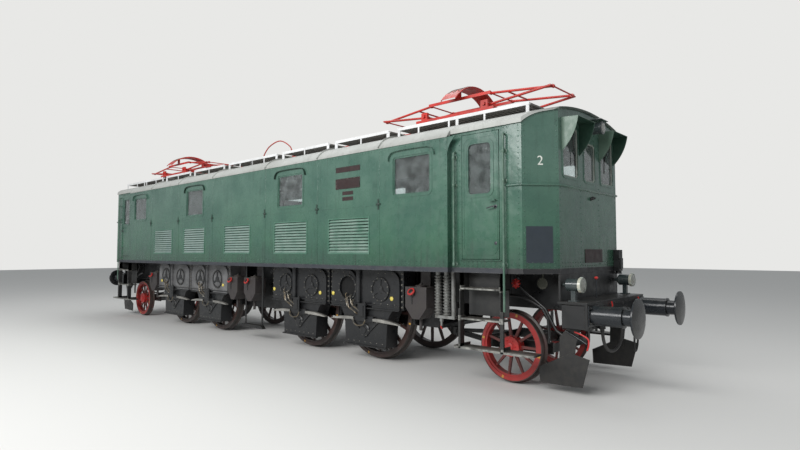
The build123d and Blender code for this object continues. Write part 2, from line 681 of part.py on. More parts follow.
# Pantograph bases: four insulators carry a frame with the bearings of the two main shafts
PAN_BASE_Z = (4150, 4200)
with BuildPart() as pantograph_bases:
    for end in (-1, 1):
        middle = end * PAN_X
        for side in (-1, 1):
            slab((middle - 800, middle + 800), (side * 480, side * 540), PAN_BASE_Z)
            for offset in (-740, 740):
                rod((middle + offset, side * 510, CROWN_Z - 50), (middle + offset, side * 510, PAN_BASE_Z[0]), 60)
            for offset in (-PAN_SHAFT, PAN_SHAFT):
                slab((middle + offset - 60, middle + offset + 60), (side * 490, side * 530),
                     (PAN_BASE_Z[1], PAN_SHAFT_Z + 50))
                rod((middle + offset, side * 480, PAN_SHAFT_Z), (middle + offset, side * 540, PAN_SHAFT_Z), 27,
                    mode=Mode.SUBTRACT)
        for offset in (-740, 740):
            slab((middle + offset - 30, middle + offset + 30), (-480, 480), PAN_BASE_Z)
    add(roof.part, mode=Mode.SUBTRACT)
write(pantograph_bases, "pantograph_bases")

# Pantograph arms: lower arms outside, upper arms inside them, and the head on the upper arms' ends
KNEE_RUN = PAN_ARM * cos(radians(PAN_REST))
KNEE_RISE = PAN_ARM * sin(radians(PAN_REST))
KNEE_Z = PAN_SHAFT_Z + KNEE_RISE
APEX_Z = KNEE_Z + KNEE_RISE
ARM_R = 20
for end_name, end in ENDS:
    middle = end * PAN_X
    for letter, way in (("a", -1), ("b", 1)):
        shaft_x = middle + way * PAN_SHAFT
        knee_x = shaft_x + way * KNEE_RUN
        with BuildPart() as lower_arm:
            rod((shaft_x, -560, PAN_SHAFT_Z), (shaft_x, 560, PAN_SHAFT_Z), 25)
            rod((knee_x, -430, KNEE_Z), (knee_x, 430, KNEE_Z), 12)
            for side in (-1, 1):
                rod((shaft_x, side * 440, PAN_SHAFT_Z), (knee_x, side * 400, KNEE_Z), ARM_R)
        write(lower_arm, f"pantograph_{end_name}_lower_{letter}")
        with BuildPart() as upper_arm:
            for side in (-1, 1):
                rod((knee_x, side * 330, KNEE_Z), (shaft_x, side * 330, APEX_Z), ARM_R)
                rod((knee_x, side * 310, KNEE_Z), (knee_x, side * 350, KNEE_Z), 28)
                rod((shaft_x, side * 310, APEX_Z), (shaft_x, side * 350, APEX_Z), 28)
                rod((knee_x, side * 300, KNEE_Z), (knee_x, side * 360, KNEE_Z), 14, mode=Mode.SUBTRACT)
                rod((shaft_x, side * 300, APEX_Z), (shaft_x, side * 360, APEX_Z), 14, mode=Mode.SUBTRACT)
            rod((shaft_x + way * 300, -330, APEX_Z - 30), (shaft_x + way * 300, 330, APEX_Z - 30), 14)
        write(upper_arm, f"pantograph_{end_name}_upper_{letter}")
    with BuildPart() as head:
        for way in (-1, 1):
            rod((middle + way * PAN_SHAFT, -380, APEX_Z), (middle + way * PAN_SHAFT, 380, APEX_Z), 12)
        for side in (-1, 1):
            slab((middle - PAN_SHAFT - 20, middle + PAN_SHAFT + 20), (side * 365, side * 380), (APEX_Z - 20, APEX_Z + 30))
            slab((middle - 60, middle + 60), (side * 365, side * 380), (APEX_Z, APEX_Z + 110))
        with BuildSketch(Plane.YZ.offset(middle - 150)) as pan:
            with BuildLine():
                ThreePointArc((-660, 4430), (0, 4738), (660, 4430))
                ThreePointArc((660, 4430), (0, 4700), (-660, 4430))
            make_face()
        extrude(pan.sketch, amount=300)
        for side in (-1, 1):
            slab((middle - 60, middle + 60), (side * 365, side * 380), (APEX_Z + 100, 4620))
    write(head, f"pantograph_{end_name}_head")
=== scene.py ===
import math

import bmesh
import bpy
import numpy as np
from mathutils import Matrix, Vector


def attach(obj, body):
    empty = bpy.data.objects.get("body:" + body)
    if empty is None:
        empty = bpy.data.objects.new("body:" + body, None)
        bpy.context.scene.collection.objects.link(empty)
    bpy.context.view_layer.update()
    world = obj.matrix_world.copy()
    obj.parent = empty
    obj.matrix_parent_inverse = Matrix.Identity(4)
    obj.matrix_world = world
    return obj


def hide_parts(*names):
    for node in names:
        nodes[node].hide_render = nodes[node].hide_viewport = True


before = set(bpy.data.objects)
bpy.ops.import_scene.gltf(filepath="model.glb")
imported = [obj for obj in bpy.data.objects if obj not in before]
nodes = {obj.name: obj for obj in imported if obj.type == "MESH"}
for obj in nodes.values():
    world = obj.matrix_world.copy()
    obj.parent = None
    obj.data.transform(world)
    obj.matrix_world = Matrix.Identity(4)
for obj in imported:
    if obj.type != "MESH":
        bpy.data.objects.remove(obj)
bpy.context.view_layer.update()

# Camera. It stands to the right of end 2, at about eye height, and looks back along the gear side with a wide lens.
eye = Vector((10.455, -7.768, 1.889))
yaw = 0.737
pitch = 0.0505
look = Vector((-math.sin(yaw) * math.cos(pitch), math.cos(yaw) * math.cos(pitch), math.sin(pitch)))
camera = bpy.data.objects.new("camera", bpy.data.cameras.new("camera"))
bpy.context.scene.collection.objects.link(camera)
camera.location = eye
camera.rotation_euler = look.to_track_quat("-Z", "Y").to_euler()
SENSOR = 36.0
FOCAL_SHARE = 542.6 / 800.0       # focal length as a share of the picture's width
camera.data.sensor_width = SENSOR
camera.data.lens = FOCAL_SHARE * SENSOR
camera.data.clip_end = 200.0
bpy.context.scene.camera = camera
bpy.context.scene.view_settings.view_transform = "Standard"


# Floor and light of a plain studio. The floor is pale and dull, the sky is even, and three large soft lamps give the
# long highlights on the paint. Only what the camera, a mirror or the glass sees of the sky is the pale backdrop.
def add_node(tree, kind, at=None, **values):
    """Adds one shader node, links or sets its inputs by name, and sets its other properties."""
    node = tree.nodes.new(kind)
    for key, value in (at or {}).items():
        socket = node.inputs[key]
        if isinstance(value, bpy.types.NodeSocket):
            tree.links.new(value, socket)
        else:
            socket.default_value = value
    for key, value in values.items():
        setattr(node, key, value)
    return node


def linear(red, green, blue):
    """A display colour of 0 to 255 as the linear colour that a shader socket takes."""
    parts = np.array([red, green, blue]) / 255.0
    parts = np.where(parts <= 0.04045, parts / 12.92, ((parts + 0.055) / 1.055) ** 2.4)
    return (*parts.tolist(), 1.0)


def new_material(name):
    """An empty material with its shader node."""
    material = bpy.data.materials.new(name)
    material.use_nodes = True
    return material, material.node_tree, material.node_tree.nodes["Principled BSDF"]


FLOOR_HALF = 60
floor_corners = [(a * FLOOR_HALF, b * FLOOR_HALF, 0) for a, b in ((-1, -1), (1, -1), (1, 1), (-1, 1))]
floor_mesh = bpy.data.meshes.new("floor")
floor_mesh.from_pydata(floor_corners, [], [(0, 1, 2, 3)])
floor = bpy.data.objects.new("floor", floor_mesh)
bpy.context.scene.collection.objects.link(floor)
floor_paint, tree, shader = new_material("pale floor")
shader.inputs["Base Color"].default_value = linear(222, 221, 218)
shader.inputs["Roughness"].default_value = 0.85
floor_mesh.materials.append(floor_paint)

world = bpy.data.worlds.new("studio")
bpy.context.scene.world = world
world.use_nodes = True
sky = world.node_tree
sky_light = sky.nodes["Background"]
sky_light.inputs["Color"].default_value = (0.93, 0.97, 1.0, 1.0)
sky_light.inputs["Strength"].default_value = 0.40
backdrop = add_node(sky, "ShaderNodeBackground", {"Color": linear(232, 232, 230), "Strength": 1.0})
rays = add_node(sky, "ShaderNodeLightPath")
seen = add_node(sky, "ShaderNodeMath", {0: rays.outputs["Is Camera Ray"], 1: rays.outputs["Is Transmission Ray"]},
                operation="MAXIMUM")
mixed = add_node(sky, "ShaderNodeMixShader",
                 {0: seen.outputs[0], 1: sky_light.outputs[0], 2: backdrop.outputs[0]})
sky.links.new(mixed.outputs[0], sky.nodes["World Output"].inputs["Surface"])

LAMPS = (               # name, place, target, size along and across, power
    ("side_lamp", (4.0, -16.0, 9.0), (0.0, -1.0, 2.0), 16.0, 6.0, 2700.0),
    ("front_lamp", (17.0, -2.0, 7.0), (7.0, 0.0, 2.5), 7.0, 7.0, 15.0),
    ("roof_lamp", (0.0, 3.0, 13.0), (0.0, 0.0, 3.5), 18.0, 6.0, 700.0),
)
for name, place, target, along, across, power in LAMPS:
    lamp = bpy.data.objects.new(name, bpy.data.lights.new(name, "AREA"))
    bpy.context.scene.collection.objects.link(lamp)
    lamp.location = place
    lamp.rotation_euler = (Vector(target) - Vector(place)).to_track_quat("-Z", "Y").to_euler()
    lamp.data.shape = "RECTANGLE"
    lamp.data.size = along
    lamp.data.size_y = across
    lamp.data.energy = power


# Brake hoses: black rubber, one under each end of the frame, hung in a loop between the angle cock and the holder on
# the buffer beam. Both ends are held, so each counts as an object at its far end.
HOSE_X = 7.586
HOSE_ROUTE = ((-0.075, 1.030), (-0.075, 0.915), (-0.075, 0.800), (-0.038, 0.690), (0.050, 0.605), (0.170, 0.556),
              (0.305, 0.545), (0.440, 0.572), (0.552, 0.640), (0.618, 0.740), (0.640, 0.850), (0.646, 0.940),
              (0.646, 1.030))
ENDS = (("1", -1), ("2", 1))


def object_place(tree):
    """The place of each point in the object's own frame."""
    return add_node(tree, "ShaderNodeTexCoord").outputs["Object"]


def noise(tree, place, scale, detail=2.0, roughness=0.5):
    """Cloudy noise between 0 and 1."""
    return add_node(tree, "ShaderNodeTexNoise", {"Vector": place, "Scale": scale, "Detail": detail,
                                                 "Roughness": roughness}).outputs["Fac"]


def mix(tree, share, first, second):
    """A colour between two others."""
    return add_node(tree, "ShaderNodeMix", {"Factor": share, 6: first, 7: second}, data_type="RGBA").outputs[2]


hose_rubber, tree, shader = new_material("worn hose rubber")
rubber_tone = mix(tree, noise(tree, object_place(tree), 22.0), linear(34, 34, 36), linear(70, 68, 66))
tree.links.new(rubber_tone, shader.inputs["Base Color"])
shader.inputs["Roughness"].default_value = 0.7
for end_name, end in ENDS:
    route = bpy.data.curves.new("hose", "CURVE")
    route.dimensions = "3D"
    line = route.splines.new("NURBS")
    line.points.add(len(HOSE_ROUTE) - 1)
    for point, (across, up) in zip(line.points, HOSE_ROUTE):
        point.co = (end * HOSE_X, -end * across, up, 1.0)
    line.order_u = 3
    line.use_endpoint_u = True
    route.bevel_depth = 0.021
    route.bevel_resolution = 4
    route.use_fill_caps = True
    route.materials.append(hose_rubber)
    hose = bpy.data.objects.new(f"hose_{end_name}", route)
    bpy.context.scene.collection.objects.link(hose)
    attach(hose, "locomotive")


# Forms of the pieces that the solids hold only in outline, such as the buffer beams, the gear cases and the lamps:
# plates, turned parts and tubes, worked out in millimetres. Each stands in its piece's place and takes that paint.
def ring_faces(rows, columns):
    """Faces of a closed tube of rings, with an end face on the first and last ring."""
    row = np.arange(rows - 1)[:, None] * columns
    here = np.arange(columns)[None, :]
    after = (here + 1) % columns
    quads = np.stack([row + here, row + after, row + columns + after, row + columns + here], axis=-1).reshape(-1, 4)
    return quads.tolist() + [list(range(columns))[::-1], list(range((rows - 1) * columns, rows * columns))]


def unit(rows):
    """Rows of values, each scaled to length one."""
    return rows / np.linalg.norm(rows, axis=-1, keepdims=True)


def turned(profile, origin, direction, columns=24):
    """A turned form: each profile row gives a distance along the axis and a radius, carried round the axis."""
    axis = unit(np.array(direction, float))
    first = unit(np.cross(axis, (0.0, 0.0, 1.0) if abs(axis[2]) < 0.9 else (1.0, 0.0, 0.0)))
    second = np.cross(axis, first)
    angle = np.linspace(0, 2 * np.pi, columns, endpoint=False)
    circle = np.cos(angle)[:, None] * first + np.sin(angle)[:, None] * second
    rows = np.array(profile, float)
    points = np.array(origin, float) + rows[:, :1, None] * axis + rows[:, 1:, None] * circle[None]
    return points.reshape(-1, 3), ring_faces(len(rows), columns)


def carried(section, path, upward=(0, 0, 1)):
    """A bar: a closed section of across and up values, carried along a path with mitred corners."""
    points = np.array(path, float)
    steps = unit(np.diff(points, axis=0))
    before = np.vstack([steps[:1], steps])
    after = np.vstack([steps, steps[-1:]])
    along = unit(before + after)
    stretch = 1.0 / np.maximum((along * before).sum(axis=1), 0.3)
    across = unit(np.cross(along, np.array(upward, float)))
    up = np.cross(across, along)
    outline = np.array(section, float)
    rows = (points[:, None] + outline[None, :, :1] * (across * stretch[:, None])[:, None]
            + outline[None, :, 1:] * up[:, None])
    return rows.reshape(-1, 3), ring_faces(len(points), len(outline))


def tube(path, radius, columns=12):
    """A round tube along a path of points; its frame is carried on from point to point without a twist."""
    points = np.array(path, float)
    along = unit(np.gradient(points, axis=0))
    guide = np.array((0.0, 0.0, 1.0)) if abs(along[0][2]) < 0.9 else np.array((1.0, 0.0, 0.0))
    sides = []
    for direction in along:
        guide = unit(guide - direction * (guide @ direction))
        sides.append(guide)
    first = np.array(sides)
    second = np.cross(along, first)
    angle = np.linspace(0, 2 * np.pi, columns, endpoint=False)
    radii = np.broadcast_to(np.array(radius, float), (len(points),))[:, None, None]
    circle = np.cos(angle)[None, :, None] * first[:, None] + np.sin(angle)[None, :, None] * second[:, None]
    return (points[:, None] + radii * circle).reshape(-1, 3), ring_faces(len(points), columns)


def smooth_path(points, count=24):
    """Points on a soft curve through the given ones, by a Catmull-Rom blend between each pair."""
    given = np.array(points, float)
    ends = np.vstack([2 * given[0] - given[1], given, 2 * given[-1] - given[-2]])
    t = np.linspace(0, len(given) - 1 - 1e-9, count)
    i = t.astype(int)
    u = (t - i)[:, None]
    a, b, c, d = ends[i], ends[i + 1], ends[i + 2], ends[i + 3]
    return 0.5 * (2 * b + (c - a) * u + (2 * a - 5 * b + 4 * c - d) * u ** 2 + (3 * b - a - 3 * c + d) * u ** 3)


def brick(low, high):
    """A box between two corners, as two rings of four points."""
    low, high = np.minimum(low, high), np.maximum(low, high)
    corners = np.array([(0, 0), (1, 0), (1, 1), (0, 1)])
    ring = low[:2] + corners * (high[:2] - low[:2])
    points = np.vstack([np.column_stack([ring, np.full(4, low[2])]), np.column_stack([ring, np.full(4, high[2])])])
    return points, ring_faces(2, 4)


def in_row(x, y, z):
    """Places in a row: the single values are repeated along those that are rows."""
    return np.column_stack(np.broadcast_arrays(x, y, z))


def copies(form, centres):
    """One form copied to many places at once."""
    points, faces = form
    centres = np.array(centres, float)
    every = (centres[:, None] + points[None]).reshape(-1, 3)
    return every, [[index + number * len(points) for index in face] for number in range(len(centres)) for face in faces]


def domes(centres, direction, radius):
    """Round rivet heads: one low dome copied to many centres."""
    angle = np.radians([0.0, 35.0, 70.0])
    profile = np.column_stack([np.sin(angle), np.cos(angle)]) * radius
    return copies(turned(profile, (0, 0, 0), direction, 8), centres)


def flat(half, low, high, top_half=None):
    """The section of a flat bar: half its width, and its two heights; the upper side may be narrower."""
    top_half = top_half or half
    return [(-half, low), (half, low), (top_half, high), (-top_half, high)]


def collar(place, direction, end, body, columns=16):
    """A ring with slanting edges on a bar: half length and radius at its ends, and the same of its middle part."""
    profile = [(-end[0], end[1]), (-body[0], body[1]), body, end]
    return turned(profile, place, direction, columns)


def circle_places(x, y, z, radius, angles):
    """Places on an upright circle that faces Y."""
    return in_row(x + radius * np.cos(angles), y, z + radius * np.sin(angles))


def spoke(middle, angle, reach, half, levels):
    """A flat bar laid along a radius of a wheel or cover, between two distances and two levels of y."""
    out = np.array((math.cos(angle), 0.0, math.sin(angle)))
    over = np.array((-math.sin(angle), 0.0, math.cos(angle))) * half
    ring = [middle + out * reach[0] - over, middle + out * reach[1] - over, middle + out * reach[1] + over,
            middle + out * reach[0] + over]
    return np.array([corner + (0, level, 0) for level in levels for corner in ring]), ring_faces(2, 4)


def arc_across(x, top, radius, half, count, lift):
    """Points across an arc that is highest in the middle, lifted off its circle."""
    y = np.linspace(-half, half, count)
    return in_row(x, y, top - radius + np.sqrt((radius + lift) ** 2 - y ** 2))


def mirrored(forms, ends=(-1, 1), sides=(-1, 1)):
    """Copies of forms made for end 2 on the left side, mirrored to the given ends and sides."""
    return [(points * np.array((end, side, 1.0)), faces) for end in ends for side in sides for points, faces in forms]


def at_both_ends(forms, side=1):
    """Copies of forms at end 2 and, turned by half a turn, at end 1; side mirrors both across the middle."""
    return mirrored(forms, (-1,), (-side,)) + mirrored(forms, (1,), (side,))


def piece(name, forms, material, body="locomotive", bevel=0.0, smooth=True):
    """Joins forms into one object with its faces outwards, and puts it on its body."""
    points, faces, start = [], [], 0
    for some_points, some_faces in forms:
        points.append(some_points)
        faces += [[index + start for index in face] for face in some_faces]
        start += len(some_points)
    mesh = bpy.data.meshes.new(name)
    mesh.from_pydata(np.vstack(points).tolist(), [], faces)
    work = bmesh.new()
    work.from_mesh(mesh)
    bmesh.ops.recalc_face_normals(work, faces=work.faces)
    work.to_mesh(mesh)
    work.free()
    if smooth:
        mesh.shade_smooth()
        mesh.set_sharp_from_angle(angle=math.radians(40))
    if material:
        mesh.materials.append(material)
    thing = bpy.data.objects.new(name, mesh)
    bpy.context.scene.collection.objects.link(thing)
    if bevel:
        rounding = thing.modifiers.new("rounded edges", "BEVEL")
        rounding.width = bevel
        rounding.segments = 2
        rounding.limit_method = "ANGLE"
    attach(thing, body)
    return thing


shapes = {}
DECK_LOW = 1603


def crown(y):
    """Height of the roof sheet at y, on its arc."""
    return 3958 - 4676 + math.sqrt(4676 ** 2 - y ** 2)


def slab(x, y, z):
    """A box from three pairs of values."""
    return brick(*np.array((x, y, z), float).T)


def rod(start, stop, radius, columns=24):
    """A round bar between two points."""
    way = np.array(stop, float) - np.array(start, float)
    return turned([(0, radius), (np.linalg.norm(way), radius)], start, way, columns)


def plate(outline, y):
    """An upright plate along the locomotive, from its X and Z outline and two values across."""
    points = [(x, depth, z) for depth in y for x, z in outline]
    return np.array(points, float), ring_faces(2, len(outline))


def bow(first, middle, last):
    """Points of the circle's arc through three points."""
    a, b, c = (np.array(p, float) for p in (first, middle, last))
    rows = 2 * np.array([b - a, c - a])
    centre = np.linalg.solve(rows, [b @ b - a @ a, c @ c - a @ a])
    angles = [math.atan2(*(p - centre)[::-1]) for p in (a, b, c)]
    for place in (1, 2):
        turn = (angles[place] - angles[place - 1] + math.pi) % (2 * math.pi) - math.pi
        angles[place] = angles[place - 1] + turn
    steps = np.linspace(angles[0], angles[2], 10)
    radius = np.linalg.norm(a - centre)
    return [(centre[0] + radius * math.cos(t), centre[1] + radius * math.sin(t)) for t in steps]


def rounded_path(points, bend):
    """A route whose corners are arcs of one radius, as a bent pipe has."""
    given = [np.array(p, float) for p in points]
    route = [given[0]]
    for before, corner, after in zip(given, given[1:], given[2:]):
        one, two = before - corner, after - corner
        reach = [np.linalg.norm(one), np.linalg.norm(two)]
        one, two = one / reach[0], two / reach[1]
        half = math.acos(max(-1.0, min(1.0, float(one @ two)))) / 2
        cut = min(bend / math.tan(half), 0.45 * min(reach))
        for t in np.linspace(0, 1, 6):
            route.append(corner + one * cut * (1 - t) ** 2 + two * cut * t ** 2)
    return np.array(route + [given[-1]])


def shape(name, forms, bevel=0.003):
    """A fuller form, from forms in millimetres. It stands for the CAD piece of that name, if there is one."""
    thing = piece(f"{name}_form", [(points * 0.001, faces) for points, faces in forms], None, bevel=bevel)
    if name in nodes:
        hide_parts(name)
    shapes[name] = thing


# Frame plates with openings for the axle boxes, the buffer beams with their boxed ends, and the footplates in front
# of the cabs: riveted black iron.
PLATE_Y = (600, 630)
BEAM_X = (7520, 7560)
BEAM_Y = 1040
BEAM_Z = (893, 1210)
outline = [(0, DECK_LOW), (7140, DECK_LOW), (7140, BEAM_Z[1]), (BEAM_X[0], BEAM_Z[1]), (BEAM_X[0], 1085), (5000, 1085),
           (4850, 640)]
for x in (3600, 1750):
    outline += [(x + 190, 640), (x + 190, 600), (x + 130, 600), (x + 130, 1010), (x - 130, 1010), (x - 130, 600),
                (x - 190, 600), (x - 190, 640)]
outline += [(-x, z) for x, z in reversed(outline[1:])]
shape("frame_plates", mirrored([plate(outline, PLATE_Y)], ends=(1,)))
beam = mirrored([slab(BEAM_X, (-BEAM_Y, BEAM_Y), BEAM_Z)], sides=(1,))
box = (7210, BEAM_X[0])
beam += mirrored([slab(box, (BEAM_Y - 12, BEAM_Y), BEAM_Z), slab(box, (860, BEAM_Y), (BEAM_Z[0], BEAM_Z[0] + 12)),
                  slab(box, (860, BEAM_Y), (BEAM_Z[1] - 12, BEAM_Z[1]))])
shape("buffer_beams", beam)
FOOTPLATE_TOP = BEAM_Z[1] + 35
shape("front_platforms", mirrored([slab((7150, BEAM_X[1]), (-BEAM_Y, BEAM_Y), (BEAM_Z[1], FOOTPLATE_TOP)),
                                   slab((7150, 7180), (-1000, 1000), (FOOTPLATE_TOP, DECK_LOW))], sides=(1,)))

# Buffers on square feet, rail guards on their brackets, and the steps below the cab doors: bolted to the beams, the
# frame plates and the deck.
BUFFER = (875, 1078)
foot = slab((BEAM_X[1], BEAM_X[1] + 15), (BUFFER[0] - 150, BUFFER[0] + 150), (BUFFER[1] - 130, BUFFER[1] + 130))
body = turned([(15, 128), (380, 128), (384, 136), (404, 136), (408, 104), (540, 104), (548, 236), (556, 246),
               (574, 246), (590, 120)], (BEAM_X[1], *BUFFER), (1, 0, 0), 48)
shape("buffers", mirrored([foot, body]), bevel=0)
blade = [(6800, 328), (6810, 110), (7415, 130), (7444, 237), (7515, 502), (7259, 560)]
bracket = [(7090, 430), (7300, 430), (7330, 700), (7400, BEAM_Z[0]), (7220, BEAM_Z[0]), (7100, 760)]
shape("rail_guards", mirrored([plate(blade, (885, 897)), plate(bracket, (873, 885))]))
STEP_Y = (1180, 1434)
STEP_X = (5850, 6515)
STEP_LOW = 528
steps = [slab(STEP_X, (STEP_Y[0], STEP_Y[0] + 12), (990, DECK_LOW))]
for x, edge in ((STEP_X[0], -30), (STEP_X[1], 45)):
    steps += [slab((x, x + 12), (1334, STEP_Y[1]), (STEP_LOW, DECK_LOW)),
              slab((x, x + 12), STEP_Y, (1366, DECK_LOW)), slab((x, x + 12), STEP_Y, (STEP_LOW, 600)),
              slab((x + 6, x + 6 + edge), (STEP_Y[1] - 10, STEP_Y[1]), (STEP_LOW, 1090))]
for z in (963, 1388):
    steps.append(slab((STEP_X[0], STEP_X[1] + 12), STEP_Y, (z - 22, z)))
    steps += [slab((x, x + 10), (STEP_Y[1] - 120, STEP_Y[1]), (z, z + 30)) for x in (STEP_X[0] + 12, STEP_X[1] - 10)]
board = [(5710, STEP_Y[0]), (6990, STEP_Y[0]), (6990, STEP_Y[1] - 50), (6930, STEP_Y[1]), (5750, STEP_Y[1]),
         (5710, STEP_Y[1] - 50)]
steps.append((np.array([(x, y, z) for z in (STEP_LOW, STEP_LOW + 30) for x, y in board], float), ring_faces(2, 6)))
shape("cab_steps", mirrored(steps), bevel=0.002)

# Sandboxes of sheet with lid, filler neck and outlet, and the compressor's two finned cooling pipes. All hang from
# the deck.
sand = []
for x, side_sign, half in ((-4800, -1, 220), (4800, -1, 220), (-655, -1, 190), (30, -1, 220), (-4800, 1, 220),
                           (4800, 1, 220)):
    body = [(x - half, 1010), (x - half, 1338), (x + half, 1338), (x + half, 1010), (x + 70, 828), (x - 70, 828)]
    sand += [plate(body, (side_sign * 900, side_sign * 1170)),
             slab((x - 100, x + 100), (side_sign * 900, side_sign * 920), (1338, DECK_LOW)),
             turned([(0, 96), (16, 96), (26, 80), (34, 30), (52, 26)], (x, side_sign * 1035, 1338), (0, 0, 1)),
             turned([(0, 50), (70, 50), (72, 62), (92, 62)], (x - 60, side_sign * 1145, 1215),
                    (0, side_sign * 0.8, 0.6)),
             rod((x, side_sign * 1035, 640), (x, side_sign * 1035, 828), 28)]
shape("sandboxes", sand)
fins = []
for z in range(0, 624, 48):
    fins += [(z, 44), (z + 14, 62), (z + 22, 62), (z + 36, 44)]
cooler = [turned(fins + [(DECK_LOW - 925, 44)], (x, -1100, 925), (0, 0, 1)) for x in (5210, 5374)]
cooler += [rod((5500, -1100, 925), (5500, -1100, DECK_LOW), 35), slab((5170, 5540), (-1136, -1064), (880, 925)),
           turned([(0, 30), (50, 30), (54, 18), (120, 18)], (5270, -1100, 880), (0, 0, -1))]
shape("cooling_pipes", cooler, 0)

# Train control magnet beside the rail, brake pipes that bend down over the leading wheels, and the hoses' cocks and
# holders: black iron, hung from the deck or screwed to the beam.
magnet = [plate([(-350, 262), (-280, 330), (440, 330), (510, 262)], (-1060, -1150))]
magnet += [slab((x - 25, x + 25), (-1085, -1070), (330, DECK_LOW)) for x in (-240, 400)]
shape("track_magnet", magnet)
PIPE_Y = 850
pipe_forms = []
for shift, route in ((0, ((6459, 1455), (6560, 1340), (6730, 1225), (6885, 1110), (6965, 960), (7040, 830), (7180, 745),
                          (7330, 722))),
                     (-45, ((6300, 1268), (6470, 1262), (6660, 1195), (6815, 1110), (6895, 970), (6912, 780),
                            (6905, 640)))):
    pipe_forms.append(tube(rounded_path([(x, PIPE_Y + shift, z) for x, z in route], 70), 20, 16))
pipe_forms += [turned([(-30, 26), (40, 30), (52, 52), (78, 52), (90, 24)], (6459, PIPE_Y, 1455), (0, 0, 1)),
               rod((6459, PIPE_Y, 1455), (6459, PIPE_Y, DECK_LOW), 14),
               slab((7240, 7265), (PIPE_Y, 873), (715, 750)),
               rod((6300, PIPE_Y - 45, 1250), (6300, PIPE_Y - 45, DECK_LOW), 20)]
shape("brake_pipes", mirrored(pipe_forms), bevel=0)
fittings = []
for end in (-1, 1):
    x = end * 7586
    first, last = end * 75, -end * 640
    fittings += [turned([(0, 26), (14, 26), (14, 30), (44, 30), (44, 26), (84, 26), (84, 34), (118, 34), (128, 14)],
                        (x, first, 905), (0, 0, 1)),
                 rod((end * BEAM_X[1], first, 967), (x, first, 967), 24),
                 turned([(0, 28), (30, 28), (40, 46), (96, 46), (110, 20)], (x, last, 850), (0, -end * 22, 110)),
                 slab((end * BEAM_X[1], x), (last - 20, last + 20), (915, 930))]
shape("brake_fittings", fittings, bevel=0)

# Lamps of turned sheet with their glass and feet, sunshades whose cheeks curve down to the wall, and the gussets under
# the eaves beside the cab doors.
LOW_LAMP = (920, 1461)
TOP_LAMP_Z = 3700
lamp = [turned([(0, 60), (40, 60), (52, 84), (180, 84), (184, 96), (210, 96)], (7180, 0, TOP_LAMP_Z), (1, 0, 0), 40),
        slab((7180, 7415), (-140, 140), (TOP_LAMP_Z + 108, TOP_LAMP_Z + 116)),
        slab((7180, 7220), (-12, 12), (TOP_LAMP_Z + 40, TOP_LAMP_Z + 110))]
low = [turned([(0, 30), (14, 64), (34, 84), (196, 84), (200, 99), (236, 99)], (7215, *LOW_LAMP), (1, 0, 0), 40),
       slab((7300, 7360), (LOW_LAMP[0] - 30, LOW_LAMP[0] + 30), (FOOTPLATE_TOP, LOW_LAMP[1] - 70)),
       slab((7270, 7390), (LOW_LAMP[0] - 50, LOW_LAMP[0] + 50), (FOOTPLATE_TOP, FOOTPLATE_TOP + 14)),
       rod((7180, *LOW_LAMP), (7225, *LOW_LAMP), 22)]
shape("headlamps", mirrored(lamp, sides=(1,)) + mirrored(low), bevel=0)
shape("lamp_lenses", mirrored([turned([(0, 88), (4, 86), (14, 40)], (7390, 0, TOP_LAMP_Z), (1, 0, 0), 40)], sides=(1,))
      + mirrored([turned([(0, 91), (4, 89), (14, 42)], (7451, *LOW_LAMP), (1, 0, 0), 40)]), 0)
SHADE_TOP = 3728
hood = [(7180, SHADE_TOP), (7420, SHADE_TOP - 15), (7420, SHADE_TOP - 23), (7180, SHADE_TOP - 8)]
cheek = [(7180, SHADE_TOP - 4)] + bow((7420, SHADE_TOP - 19), (7353, SHADE_TOP - 240), (7180, SHADE_TOP - 470))
shape("sunshades", mirrored([plate(hood, (350, 905)), plate(cheek, (350, 358)), plate(cheek, (897, 905))]),
      0.002)
gusset = [(5675, 3578), (5675, 3308), (5680, 3308)] + bow((5680, 3308), (5723.5, 3465.5), (5830, 3578))[1:]
shape("gussets", mirrored([plate(gusset, (1471, 1483))]), 0)

# Gear cases: arched panels with round covers, a recess with a pillar between them, ledges, and a narrowing foot. One
# cover is off, on the case nearest end 2, and its opening shows.
CASES_X = (-3600, -1750, 1750, 3600)
GEAR_Y = (-835, -1157)
PANEL_BACK = -1117
LEDGE_Z = 938
GEAR_TOP = 1588
COVER = (410, 1262, 210)          # place along and up from the case's middle, and radius
MISSING_AT = 3600


def holed_plate(outline, hole, y, depth):
    """An upright plate with a round blind hole: both edges are cut at the same angles round the hole's middle."""
    corners = np.array(outline, float) - hole[:2]
    angles = np.sort(np.concatenate([np.arctan2(corners[:, 1], corners[:, 0]),
                                     np.linspace(-np.pi, np.pi, 48, endpoint=False)]))
    angles = angles[np.concatenate([[True], np.diff(angles) > 1e-4])]
    edge = []
    for angle in angles:
        way = np.array((math.cos(angle), math.sin(angle)))
        best = 0.0
        for one, two in zip(corners, np.roll(corners, -1, axis=0)):
            cross = np.array([way, one - two]).T
            if abs(np.linalg.det(cross)) > 1e-9:
                far, share = np.linalg.solve(cross, one)
                if -1e-6 <= share <= 1 + 1e-6:
                    best = max(best, far)
        edge.append(way * best)
    edge = np.array(edge) + hole[:2]
    inner = np.column_stack([np.cos(angles), np.sin(angles)]) * hole[2] + hole[:2]
    rows = [(edge, y[0]), (edge, y[1]), (inner, y[1]), (inner, y[1] + depth)]
    points = np.vstack([in_row(ring[:, 0], level, ring[:, 1]) for ring, level in rows])
    return points, ring_faces(4, len(angles))


